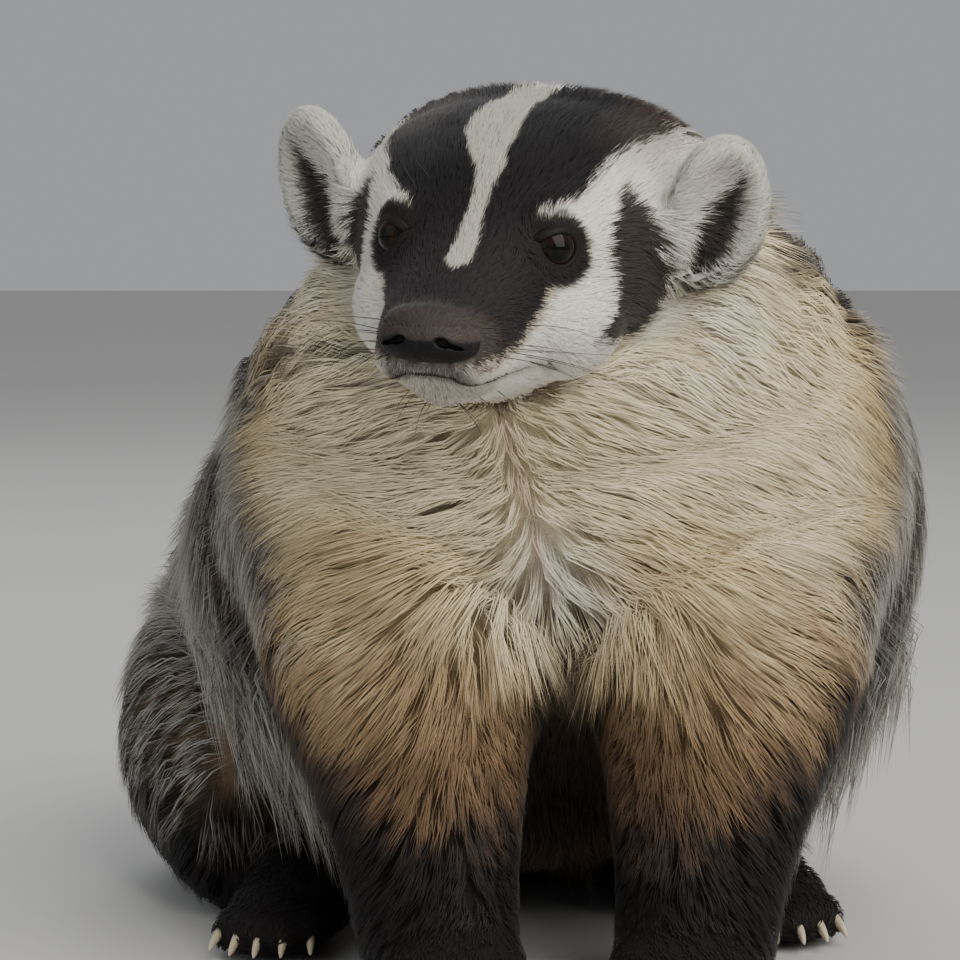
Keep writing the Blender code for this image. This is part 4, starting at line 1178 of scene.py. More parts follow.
        # Dark brown down the gap between the forelegs: painted shade between the arms.
        gap = 0.85 * smoothstep(0.018, 0.008, np.abs(x - 0.002)) * (y < 0.06)
        gap *= smoothstep(0.124, 0.108, height)
        lay(stops, leg_share, tone * 0.75, tone * 0.95, tone * 1.15)
        lay(stops, gap, *(self.brown * 0.6 * light for light in (0.75, 0.95, 1.15)))
        thigh = (parts == Part.THIGH) * smoothstep(0.055, 0.025, height)
        lay(stops, np.maximum(thigh, parts == Part.HINDPAW), self.dark * 0.8, self.dark, self.dark * 1.3)
        far = smoothstep(0.3, 0.4, y)
        lay(stops, parts == Part.TAIL, blend(self.tan * 0.8, self.rust * 0.8, far),
            blend(self.rust, self.brown, far), blend(self.cream * 0.85, self.brown, far))
        local = self.head.place.inside(points)
        foot = np.column_stack([np.abs(local[:, 0]), local[:, 1:]]) - np.array((0.064, 0.032, -0.032))
        fluff = np.exp(-((foot / np.array((0.02, 0.022, 0.02))) ** 2).sum(axis=1))
        lay(stops, 0.85 * fluff, self.white)
        nape = smoothstep(0.0, 0.5, normals[:, 1] * 0.6 + normals[:, 2])
        nape *= smoothstep(0.155, 0.085, local[:, 1] + 0.012 * patch)
        shoulders = np.isin(parts, (Part.NECK, Part.TORSO))
        nape *= shoulders
        lay(stops, 0.95 * nape, self.dark, self.dark, self.brown)
        drift = np.where(y > -0.01, np.clip((y + 0.01) / 0.09, 0, 1), 0)
        line = (1 - drift) * local[:, 0] + drift * (x + 0.002)
        width = np.interp(y, (-0.04, 0.03, 0.1, 0.16), (0.0068, 0.0055, 0.0035, 0.0))
        on_top = (normals[:, 2] > 0.2) & (z > 0.15)
        stripe = np.clip(0.5 + (width - np.abs(line) + 0.001 * fine) / 0.003, 0, 1) > choice
        stops[stripe & on_top & (y < 0.16) & shoulders] = self.white * 0.92
        chosen = parts == Part.HEAD
        found = [(chosen, self.head_colour(points[chosen], choice[chosen]))]
        for side in SIDES:
            chosen = (parts == Part.EAR) & (sides == side)
            found.append((chosen, self.ear_colour(points[chosen], side, choice[chosen])))
        for chosen, ends in found:
            stops[chosen] = np.stack([ends[:, 0], (ends[:, 0] + ends[:, 1]) / 2, ends[:, 1]], axis=1)
        return stops


@dataclass
class Skin:
    """One fused surface under the coat, with what each of its points tells the coat."""

    head: Head
    body: Body
    ears: Dict[int, Ear]
    markings: Markings
    voxel: float = 0.00232
    smoothing: int = 6
    ear_depth: float = 0.0016
    lie_rounds: int = 10
    body_rounds: int = 30
    depth_rounds: Tuple[int, int] = (8, 24)
    crease: float = 0.45
    crest: float = 0.5
    between: float = 0.62
    mouth_width: float = 0.0016
    mouth_depth: float = 0.0016
    points: Array = field(init=False)
    normals: Array = field(init=False)
    triangles: Array = field(init=False)
    parts: Array = field(init=False)
    sides: Array = field(init=False)
    depth: Array = field(init=False)
    lie: Array = field(init=False)
    tree: BVHTree = field(init=False)

    def fused(self) -> Mesh:
        """All masses remeshed into one closed surface."""
        whole = bmesh.new()
        masses = self.body.surfaces() + self.head.surfaces()
        for shape in masses + [ear.surface() for ear in self.ears.values()]:
            mesh = bpy.data.meshes.new("mass")
            shape.to_mesh(mesh)
            shape.free()
            whole.from_mesh(mesh)
            bpy.data.meshes.remove(mesh)
        mesh = bpy.data.meshes.new("masses")
        whole.to_mesh(mesh)
        whole.free()
        guide = bpy.data.objects.new("masses", mesh)
        bpy.context.scene.collection.objects.link(guide)
        remesh = guide.modifiers.new("fuse", "REMESH")
        remesh.mode = "VOXEL"
        remesh.voxel_size = self.voxel * 1.0
        soften = guide.modifiers.new("soften", "SMOOTH")
        soften.factor = 0.5
        soften.iterations = self.smoothing
        graph = bpy.context.evaluated_depsgraph_get()
        result = bpy.data.meshes.new_from_object(guide.evaluated_get(graph))
        bpy.data.objects.remove(guide, do_unlink=True)
        return result

    def read(self, mesh: Mesh) -> None:
        """Takes the mesh's points, normals and triangles as numbers."""
        mesh.calc_loop_triangles()
        self.points = np.empty(3 * len(mesh.vertices))
        mesh.vertices.foreach_get("co", self.points)
        self.points = self.points.reshape(-1, 3)
        self.triangles = np.empty(3 * len(mesh.loop_triangles), dtype=np.int32)
        mesh.loop_triangles.foreach_get("vertices", self.triangles)
        self.triangles = self.triangles.reshape(-1, 3)
        self.measure()

    def measure(self) -> None:
        """Works out the normal of each point."""
        first, second, third = (self.points[self.triangles[:, k]] for k in range(3))
        across = np.cross(second - first, third - first)
        self.normals = np.zeros_like(self.points)
        for corner in self.triangles.T:
            for axis in range(3):
                self.normals[:, axis] += np.bincount(corner, across[:, axis], len(self.points))
        self.normals = unit(self.normals)

    def spread(self, values: Array, rounds: int) -> Array:
        """Values of each point, evened out over its neighbours in so many rounds."""
        first = self.triangles.ravel()
        second = np.roll(self.triangles, -1, axis=1).ravel()
        count = np.bincount(first, minlength=len(values)) + np.bincount(second, minlength=len(values))
        for _ in range(rounds):
            total = np.zeros_like(values)
            for axis in range(values.shape[1]):
                total[:, axis] = np.bincount(first, values[second, axis], len(values))
                total[:, axis] += np.bincount(second, values[first, axis], len(values))
            values = (values + total / np.maximum(count, 1)[:, None]) / 2
        return values

    def build(self) -> None:
        """Makes the surface and measures what the coat needs on it."""
        self.read(self.fused())
        local = self.head.place.inside(self.points)
        ear_share = {side: self.ears[side].inside(self.points) for side in SIDES}
        on_ear = np.zeros(len(self.points), dtype=bool)
        self.sides = np.sign(self.points[:, 0] - self.body.foreleg_shift).astype(int)
        for side, share in ear_share.items():
            found = (np.linalg.norm(share, axis=1) < 1.25) & (np.abs(local[:, 0]) > 0.052)
            found &= (share[:, 2] > -0.62) | (share[:, 0] > 0.2)
            on_ear |= found
            self.sides[found] = side
        weight = self.head.weight(local)
        best = np.full(len(self.points), 1e9)
        self.parts = np.zeros(len(self.points), dtype=int)
        body_depth = np.zeros(len(self.points))
        along = np.zeros_like(self.points)
        for mass in self.body.masses():
            gap, index, heading = mass.nearest(self.points)
            closer = gap < best
            best[closer] = gap[closer]
            self.parts[closer] = mass.part
            body_depth[closer] = mass.rows[index[closer], 5]
            along[closer] = heading[closer]
            if mass.side:
                self.sides[closer & ~on_ear] = mass.side
        head_depth = weight * self.head.depth(local)
        self.depth = head_depth + (1 - weight) * body_depth
        ear_share = {side: (share, on_ear & (self.sides == side)) for side, share in ear_share.items()}
        for share, found in ear_share.values():
            self.depth[found] = self.ear_depth * (1 + 1.8 * smoothstep(-0.25, -0.85, share[found, 2]))
        off = np.abs(self.points[:, 0] - np.interp(self.points[:, 2], *PARTING))
        crease = smoothstep(0.022, 0.0, off) * smoothstep(0.3, 0.7, -self.normals[:, 1]) * (1 - weight)
        crease *= smoothstep(0.118, 0.135, self.points[:, 2])
        self.depth *= 1 - self.crease * crease
        near, far = self.depth_rounds
        even = self.spread(self.depth[:, None], near)
        self.depth = blend(even, self.spread(even, far), 1 - weight)[:, 0]
        crest = smoothstep(0.15, 0.08, local[:, 1]) * smoothstep(0.1, 0.6, self.normals[:, 2])
        crest *= 1 - weight
        self.depth *= 1 - self.crest * crest
        self.depth *= 1 - self.between * self.body.between(self.points, self.normals)
        head_depth[on_ear] = 0
        self.points -= self.normals * self.spread(head_depth[:, None], 3)
        groove = np.exp(-(self.head.mouth_gap(local) / self.mouth_width) ** 2)
        self.points -= self.normals * (self.mouth_depth * groove)[:, None]
        self.measure()
        heading = self.body.lie(self.points, self.normals, self.parts, along)
        calm = smoothstep(0.3, -0.2, -self.normals[:, 1])
        calm = np.maximum(calm, 0.75 * smoothstep(0.165, 0.14, self.points[:, 2]))
        heading = unit(blend(heading, self.spread(heading, self.body_rounds), calm))
        heading = blend(heading, self.head.place.turned(self.head.lie(local)), weight)
        for side, (share, found) in ear_share.items():
            cup = (share[:, 1] < 0.3) & (share[:, 0] < 0.1)
            given = columns(np.where(cup, 0.7, share[:, 0] + 0.25), -0.05, share[:, 2] + 0.15)
            heading[found] = self.ears[side].turned(given[found])
        self.parts[weight > 0.5] = Part.HEAD
        self.parts[on_ear] = Part.EAR
        heading = self.spread(unit(heading), self.lie_rounds)
        self.lie = unit(flat(heading, self.normals))
        self.tree = BVHTree.FromPolygons(self.points.tolist(), self.triangles.tolist())

    def piece(self, material: Material) -> None:
        """Dresses the skin in the coat's markings and sets it in place of the flesh."""
        choice = np.full(len(self.points), 0.5)
        stops = self.markings.stops(self.points, self.normals, self.parts, self.sides, choice)
        tint = stops[:, 0] * 0.5 + stops[:, 1] * 0.5
        points = self.points.copy()
        points[:, 2] = np.maximum(points[:, 2], FLOOR_CLEAR)
        nodes = [node for node in frame["nodes"] if not node.startswith(("eye", "nose"))]
        Form(points, self.triangles, tint).piece("skin", material, "body_fur", nodes)


@dataclass(frozen=True)
class Cut:
    """How a region's coat is laid: the slot it fills, its strands' sizes and how flat and even its top is."""

    slot: str
    area: float
    children: int
    width: float
    clump: float
    stretch: float
    extra: float
    scatter: float
    flat: float = 2.3
    uneven: float = 0.36


class Region(Enum):
    """The regions of the coat, each with its cut."""

    FACE = Cut("face_fur", 0.30e-6, 4, 0.00021, 0.1, 2.6, 0.0016, 0.05)
    CHEEKS = Cut("face_fur", 0.37e-6, 8, 0.00027, 0.18, 2.2, 0.005, 0.06, 2.8, 0.25)
    EARS = Cut("ear_fur", 0.40e-6, 3, 0.00022, 0.1, 2.6, 0.003, 0.12)
    CHEST = Cut("body_fur", 1.06e-6, 10, 0.00036, 0.16, 1.25, 0.004, 0.06, 3.6, 0.16)
    BACK = Cut("body_fur", 3.15e-6, 18, 0.00054, 0.35, 1.5, 0.008, 0.05, 2.8, 0.28)
    FORELEGS = Cut("leg_fur", 1.45e-6, 9, 0.00038, 0.14, 1.5, 0.004, 0.06, 3.4, 0.2)
    THIGHS = Cut("leg_fur", 3.3e-6, 16, 0.00054, 0.35, 1.5, 0.007, 0.05, 2.8, 0.28)
    PAWS = Cut("paw", 2.0e-6, 4, 0.00042, 0.2, 2.2, 0.003, 0.07)
    TAIL = Cut("tail_fur", 1.6e-6, 12, 0.0005, 0.4, 1.5, 0.008, 0.06)


@dataclass
class Coat:
    """The hair: guides that follow the lie over the skin, each with a lock of strands round it."""

    skin: Skin
    fine: int = 8
    sink: float = 0.0007
    face_depth: float = 0.0037
    eye_clear: float = 0.0076
    nose_clear: float = 1.03
    mouth_clear: float = 0.0009
    roundness: float = 0.2
    stations: Triple = (0.0, 0.45, 1.0)
    tufts: Tuple[int, int] = (330, 9)
    tuft_width: float = 0.0005
    nap: Tuple[int, float] = (3200, 0.0026)
    nap_width: float = 0.00018
    total: int = 0

    def region_of(self) -> Array:
        """The number of the region that each triangle of the skin belongs to."""
        corners = self.skin.triangles
        parts = self.skin.parts[corners[:, 0]]
        depth = self.skin.depth[corners].mean(axis=1)
        order = list(Region)
        facing = self.skin.normals[corners[:, 0], 1]
        ahead = self.skin.points[corners[:, 0], 1]
        regions = np.full(len(corners), order.index(Region.BACK))
        for region, chosen in (
            (Region.CHEST, (ahead < 0.09) & (facing < 0.15)),
            (Region.FACE, (parts == Part.HEAD) & (depth < self.face_depth)),
            (Region.CHEEKS, (parts == Part.HEAD) & (depth >= self.face_depth)),
            (Region.EARS, parts == Part.EAR),
            (Region.FORELEGS, parts == Part.FORELEG),
            (Region.THIGHS, parts == Part.THIGH),
            (Region.PAWS, (parts == Part.FOREPAW) | (parts == Part.HINDPAW)),
            (Region.TAIL, parts == Part.TAIL),
        ):
            regions[chosen] = order.index(region)
        return regions

    def roots(self, chosen: Array, spacing_area: float, rng: np.random.Generator) -> Tuple[Array, Array]:
        """Spreads guides evenly over some of the skin's triangles.

        Args:
            chosen: The triangles' numbers.
            spacing_area: The skin that one guide stands for.
            rng: The source of chance.

        Returns:
            The triangle of each guide, and the shares of its corners.
        """
        corners = self.skin.points[self.skin.triangles[chosen]]
        across = np.cross(corners[:, 1] - corners[:, 0], corners[:, 2] - corners[:, 0])
        area = np.linalg.norm(across, axis=1) / 2
        cells = np.floor((corners.mean(axis=1) + 1.0) / 0.0025).astype(np.int64)
        code = np.zeros(len(cells), dtype=np.int64)
        for bit in range(10):
            for axis in range(3):
                code |= ((cells[:, axis] >> bit) & 1) << (3 * bit + axis)
        order = np.argsort(code, kind="stable")
        total = np.cumsum(area[order])
        count = max(1, int(total[-1] / spacing_area))
        marks = (np.arange(count) + rng.uniform(0.1, 0.9, count)) / count * total[-1]
        picked = chosen[order[np.minimum(np.searchsorted(total, marks), len(order) - 1)]]
        shares = rng.dirichlet((1.0, 1.0, 1.0), count)
        return picked, shares

    def clear(self, points: Array) -> Array:
        """Which places are clear of the eyes, the nose, the mouth and the floor."""
        head = self.skin.head
        local = head.place.inside(points)
        return ((head.eye_gap(local) > self.eye_clear) & (head.nose_gap(local) > self.nose_clear)
                & (head.mouth_gap(local) > self.mouth_clear) & (points[:, 2] > 0.003))

    def tracks(self, roots: Array, faces: Array, lengths: Array,
               turns: Array) -> Tuple[Array, Array, Array]:
        """Follows the lie over the skin from each root.

        Args:
            roots: Where the guides start.
            faces: The triangle that each starts on.
            lengths: How long each is.
            turns: How far each strays from the lie, in radians.

        Returns:
            Places, normals and headings in fine steps along every guide.
        """
        skin = self.skin
        face_lie = unit(skin.lie[skin.triangles].mean(axis=1))
        face_normal = unit(skin.normals[skin.triangles].mean(axis=1))
        places = np.empty((len(roots), self.fine + 1, 3))
        normals = np.empty_like(places)
        headings = np.empty_like(places)
        place, face = roots.copy(), faces.copy()
        for step in range(self.fine + 1):
            normal = face_normal[face]
            heading = face_lie[face] * np.cos(turns)[:, None]
            heading += np.cross(normal, face_lie[face]) * np.sin(turns)[:, None]
            places[:, step], normals[:, step], headings[:, step] = place, normal, heading
            if step == self.fine:
                break
            ahead = place + heading * (lengths / self.fine)[:, None]
            for index, point in enumerate(ahead.tolist()):
                place[index], _, face[index], _ = skin.tree.find_nearest(point)
        return places, normals, headings

    def build(self, hair: Dict[str, Material]) -> None:
        """Lays every region's coat and makes its pieces.

        Args:
            hair: The finish of each slot.
        """
        regions = self.region_of()
        for number, region in enumerate(Region):
            rng = np.random.default_rng(SEED + number)
            self.lay(region, np.nonzero(regions == number)[0], rng, hair[region.value.slot])
        LOG.info("coat: %d triangles in all", self.total)

    def lay(self, region: Region, chosen: Array, rng: np.random.Generator, material: Material) -> None:
        """Lays one region's coat.

        Args:
            region: The region.
            chosen: Its triangles on the skin.
            rng: The source of chance.
            material: The hair's finish.
        """
        skin, cut = self.skin, region.value
        area = cut.area * 1.0
        faces, shares = self.roots(chosen, area * cut.children, rng)
        corners = skin.triangles[faces]
        roots = (skin.points[corners] * shares[:, :, None]).sum(axis=1)
        free = self.clear(roots)
        faces, corners, shares, roots = faces[free], corners[free], shares[free], roots[free]
        depth = (skin.depth[corners] * shares).sum(axis=1)
        lengths = depth * cut.stretch + cut.extra
        off = np.abs(roots[:, 0] - np.interp(roots[:, 2], *PARTING))
        near = np.exp(-(off / 0.006) ** 2) * (region is Region.CHEST)
        lengths *= 1 - 0.25 * near
        turns = rng.normal(0, 0.06 + 0.1 * near) + 0.12 * ripple(roots, 0.035, 12)
        places, normals, headings = self.tracks(roots, faces, lengths, turns)
        guide = np.repeat(np.arange(len(roots)), cut.children)
        count = len(guide)
        radius = math.sqrt(area * cut.children / math.pi) * 1.12 * np.sqrt(rng.uniform(0, 1, count))
        angle = rng.uniform(0, 2 * math.pi, count)
        long = rng.uniform(0.7, 1.06, count)
        rise = 1.03 - cut.uneven * rng.uniform(0, 1, count) ** 2
        rise *= np.repeat(rng.uniform(1 - 0.2 * cut.uneven, 1.02, len(roots)), cut.children)
        stray = rng.normal(0, cut.scatter, (count, 2)) * lengths[guide][:, None]
        line, ups = [], []
        for share in self.stations:
            spot = share * long * self.fine
            low = np.minimum(spot.astype(int), self.fine - 1)
            part = (spot - low)[:, None]
            place, normal, heading = (given[guide, low] * (1 - part) + given[guide, low + 1] * part
                                      for given in (places, normals, headings))
            normal, heading = unit(normal), unit(heading)
            side = np.cross(heading, normal)
            spread = (radius * (1 - cut.clump * share ** 0.8))[:, None]
            place = place + (heading * np.cos(angle)[:, None] + side * np.sin(angle)[:, None]) * spread
            place += side * (stray[:, :1] * share ** 1.5) + normal * (stray[:, 1:] * 0.35 * share ** 1.5)
            lift = depth[guide] * rise * (1 - (1 - share) ** cut.flat) - self.sink * (1 - share) ** 2
            place += normal * lift[:, None]
            place[:, 2] = np.maximum(place[:, 2], FLOOR_CLEAR + 0.0004)
            line.append(place)
            ups.append(normal)
        line, ups = np.stack(line, axis=1), np.stack(ups, axis=1)
        shown = line[:, 0] + (line[:, -1] - line[:, 0]) * (0.2 if region is Region.EARS else 0.5)
        parts = skin.parts[corners[:, 0]][guide]
        sides = skin.sides[corners[:, 0]][guide]
        choice = rng.uniform(0.02, 0.98, count)
        stops = skin.markings.stops(shown, ups[:, 0], parts, sides, choice)
        light = rng.uniform(0.92, 1.06, count) * np.repeat(rng.uniform(0.96, 1.04, len(roots)), cut.children)
        stops *= light[:, None, None]
        keep = self.clear(line[:, 0])
        line, ups, stops, parts, sides = (given[keep] for given in (line, ups, stops, parts, sides))
        count = math.ceil(len(line) * STRAND_TRIANGLES / PIECE_TRIANGLES)
        legs = region in (Region.FORELEGS, Region.THIGHS, Region.CHEST)
        order = np.argsort(line[:, 0, 0 if legs else 1], kind="stable")
        for number, chosen in enumerate(np.array_split(order, count)):
            name = "coat_" + region.name.lower() + ("_%d" % (number + 1) if count > 1 else "")
            form = self.strands(line[chosen], ups[chosen], stops[chosen], cut.width)
            uv = self.patches(line[chosen][:, 0], parts[chosen], sides[chosen])
            form.piece(name, material, cut.slot, uv=uv)
            self.total += len(form.triangles)

    def fringe(self, material: Material) -> None:
        """Hangs long pale tufts from the flanks, outside the arms.

        Args:
            material: The hair's finish.
        """
        tufts, children = self.tufts
        rng = np.random.default_rng(SEED + 70)
        skin, marks = self.skin, self.skin.markings
        x, y, z = skin.points.T
        flank = (np.abs(skin.normals[:, 0]) > 0.55) & (y > 0.02) & (y < 0.095)
        flank &= (z > 0.075) & (z < 0.13)
        chosen = rng.choice(np.nonzero(flank & (skin.parts == Part.TORSO))[0], tufts)
        side = np.sign(x[chosen])
        down = unit(columns(-0.22 * side, -0.1, -1.0) + rng.normal(0, 0.11, (tufts, 3)))
        tuft = np.repeat(np.arange(tufts), children)
        count = len(tuft)
        reach = (rng.uniform(0.026, 0.052, tufts)[tuft] * rng.uniform(0.6, 1.05, count))[:, None]
        around = rng.normal(0, 0.0026, (count, 3))
        root, up = skin.points[chosen][tuft], skin.normals[chosen][tuft]
        depth = skin.depth[chosen][tuft, None]
        line = np.stack([root + around + up * depth * lift + down[tuft] * reach * step - around * 0.8 * step
                         for step, lift in ((0.0, -0.02), (0.45, 0.92), (1.0, 0.86))], axis=1)
        line[:, :, 2] = np.maximum(line[:, :, 2], FLOOR_CLEAR)
        tone = (rng.uniform(0.6, 1.05, tufts)[tuft] * rng.uniform(0.8, 1.05, count))[:, None]
        mixed = rng.uniform(0, 1, count) ** 3
        tints = np.stack([marks.brown * tone, blend(marks.grey * 0.6, marks.brown, mixed) * tone,
                          blend(marks.white * 0.8, marks.rust, mixed) * tone], axis=1)
        strands = self.strands(line, np.repeat(up[:, None], 3, axis=1), tints, self.tuft_width)
        uv = self.patches(root, np.full(count, Part.TORSO), np.zeros(count, dtype=int))
        strands.piece("coat_fringe", material, "body_fur", uv=uv)
        self.total += len(strands.triangles)

    def velvet(self, form: Form, outward: Array, share: Array, material: Material) -> None:
        """Lays very short hair over the top of the nose's pad.

        Args:
            form: The pad.
            outward: About the way out at each of its points.
            share: How much of the hair each of its points bears, from 0 to 1.
            material: The hair's finish.
        """
        count, length = self.nap
        rng = np.random.default_rng(SEED + 60)
        bearing = np.nonzero(share > 0.02)[0]
        chosen = rng.choice(bearing, count, p=share[bearing] / share[bearing].sum())
        root = form.points[chosen] + rng.normal(0, 0.0002, (count, 3))
        up = unit(outward[chosen])
        local = self.skin.head.place.inside(root)
        heading = self.skin.head.place.turned(columns(local[:, 0] / 0.03, 1.0, 0.25))
        heading = unit(flat(heading, up) + rng.normal(0, 0.12, (count, 3)))
        reach = length * rng.uniform(0.7, 1.1, count)[:, None]
        line = np.stack([root + heading * reach * step + up * lift
                         for step, lift in ((0.0, -0.0002), (0.45, 0.00025), (1.0, 0.00035))], axis=1)
        tone = self.skin.markings.velvet * rng.uniform(0.75, 1.1, count)[:, None]
        tints = np.stack([tone * 0.85, tone, tone * 1.15], axis=1)
        parts = np.full(count, Part.HEAD)
        strands = self.strands(line, np.repeat(up[:, None], 3, axis=1), tints, self.nap_width)
        uv = self.patches(root, parts, np.zeros(count, dtype=int))
        strands.piece("coat_nose", material, "face_fur", uv=uv)
        self.total += len(strands.triangles)

    def strands(self, line: Array, ups: Array, tints: Array, width: float) -> Form:
        """Closed three-sided strands that taper from their middle to a point at both ends.

        Args:
            line: The root, middle and tip of each strand.
            ups: The skin's normals there.
            tints: Its colours there.
            width: How wide each is.

        Returns:
            All strands as one form.
        """
        count = len(line)
        half = width / 2 * np.random.default_rng(count).uniform(0.75, 1.2, count)[:, None]
        along = unit(line[:, 2] - line[:, 0])
        side = unit(np.cross(along, ups[:, 1]))
        up = np.cross(side, along)
        points = np.empty((count, 5, 3))
        normals = np.empty_like(points)
        for corner, (across, above) in enumerate(((1.0, -0.3), (-1.0, -0.3), (0.0, 0.7))):
            arm = side * across + up * above
            points[:, 1 + corner] = line[:, 1] + arm * half
            normals[:, 1 + corner] = ups[:, 1] + arm * self.roundness
        points[:, 0], points[:, 4] = line[:, 0], line[:, 2]
        normals[:, 0], normals[:, 4] = ups[:, 0], ups[:, 2]
        colours = tints[:, (0, 1, 1, 1, 2)]
        faces = [(0, 1 + (corner + 1) % 3, 1 + corner) for corner in range(3)]
        faces += [(4, 1 + corner, 1 + (corner + 1) % 3) for corner in range(3)]
        triangles = (np.array(faces)[None] + np.arange(count)[:, None, None] * 5).reshape(-1, 3)
        return Form(points.reshape(-1, 3), triangles, colours.reshape(-1, 3), unit(normals.reshape(-1, 3)))

    def patches(self, roots: Array, parts: Array, sides: Array) -> Array:
        """A small patch for each strand, where its root is on an unwrap of the skin's shape.

        Args:
            roots: Where the strands start.
            parts: Each one's part.
            sides: Each one's side.

        Returns:
            A place on the baked picture for every point.
        """
        spots = np.empty((len(roots), 2))
        groups = np.where(parts == Part.HEAD, 0, parts * 3 + sides + 1)
        kinds = np.unique(groups)
        for tile, kind in enumerate(kinds):
            chosen = groups == kind
            part, side = Part(parts[chosen][0]), int(sides[chosen][0])
            if part in (Part.HEAD, Part.EAR):
                spot = self.skin.head.unwrap(roots[chosen])
            else:
                fits = [mass for mass in self.skin.body.masses() if mass.part is part]
                fits = [mass for mass in fits if mass.side in (0, side)]
                spot = fits[0].unwrap(roots[chosen])
            low, high = spot.min(axis=0), spot.max(axis=0)
            spot = (spot - low) / np.maximum(high - low, 1e-6)
            spots[chosen, 0] = (tile + 0.02 + 0.96 * spot[:, 0]) / len(kinds)
            spots[chosen, 1] = 0.02 + 0.96 * spot[:, 1]
        corners = np.array(((0, -1), (-1, 0), (1, 0), (0, 0), (0, 1))) * (PATCH / 2)
        return (spots[:, None] + corners[None]).reshape(-1, 2)


@dataclass
class Eye:
    """An eyeball and the dark rims of its lids. Its z axis looks out and its x axis points to the nose."""

    head: Head
    side: int
    outlook: Triple = (0.62, -0.78, 0.06)
    opening: Pair = (0.0062, 0.005)
    corner: float = 0.0022
    iris: float = 0.0068
    pupil: float = 0.003
    name: str = field(init=False)
    place: Matrix = field(init=False)
    radius: float = field(init=False)

    def __post_init__(self) -> None:
        """Takes the eye's place and radius from its CAD node."""
        self.name = "left" if self.side > 0 else "right"
        low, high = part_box("eye_" + self.name)
        self.radius = max(high - low) / 2
        turn = self.head.place.matrix().to_3x3()
        out = (turn @ Vector((self.side * self.outlook[0], *self.outlook[1:]))).normalized()
        nose = turn @ Vector((-self.side, -0.75, -0.25))
        across = (nose - out * nose.dot(out)).normalized()
        basis = Matrix((across, out.cross(across), out)).transposed().to_4x4()
        self.place = Matrix.Translation((low + high) / 2 - ORIGIN) @ basis

    def ball(self) -> Form:
        """The eyeball with its iris and pupil."""
        form = Form.from_bmesh(ball(Vector(), [self.radius] * 3, detail=5), linear(28, 19, 15))
        off = np.hypot(form.points[:, 0], form.points[:, 1])
        front = form.points[:, 2] > 0
        white = linear(30, 24, 22)
        iris = blend(np.tile(linear(29, 20, 15), (len(off), 1)), linear(12, 9, 8),
                     smoothstep(self.iris * 0.72, self.iris, off))
        tint = blend(iris, white, np.where(front, smoothstep(self.iris, self.iris + 0.0006, off), 1.0))
        hole = smoothstep(self.pupil + 0.0003, self.pupil, off) * front
        form.tint = blend(tint, BLACK, hole)
        form.points[:, 2] += np.where(front, 0.0005 * smoothstep(self.iris, 0.0, off), 0.0)
        return form.moved(self.place)

    def lids(self, count: int = 56) -> Form:
        """The rolled rims of both lids in so many sections, drawn out to a tear corner beside the nose."""
        rings = []
        for index in range(count):
            angle = 2 * math.pi * index / count
            toward = Vector((math.cos(angle), math.sin(angle), 0))
            upper = max(0.0, self.side * toward.y)
            tear = self.corner * max(0.0, toward.x) ** 6
            reach = math.hypot(self.opening[0] * toward.x, self.opening[1] * toward.y) + tear
            level = math.sqrt(max(self.radius ** 2 - min(reach, self.radius * 0.97) ** 2, 1e-8))
            fold = 0.0003 * upper
            profile = ((-0.0003, -0.0006), (-0.0002, 0.0001), (0.0001, 0.0004 + fold),
                       (0.0006, 0.0005 + fold), (0.0012, 0.0002 + fold), (0.0018, -0.0004),
                       (0.0024, -0.0012), (0.0026, -0.0022), (0.001, -0.0026))
            rings.append([toward * (reach + out) + Vector((0, 0, level + up)) for out, up in profile])
        return Form.from_bmesh(loft(rings, ring_closes=True), linear(24, 19, 18)).moved(self.place)

    def build(self, wet: Material, lid: Material) -> None:
        """Sets the eye and its lids.

        Args:
            wet: The eyeball's finish.
            lid: The lids' finish.
        """
        self.ball().piece("eyeball_" + self.name, wet, "eye", ["eye_" + self.name])
        self.lids().piece("lids_" + self.name, lid, "nose_leather")


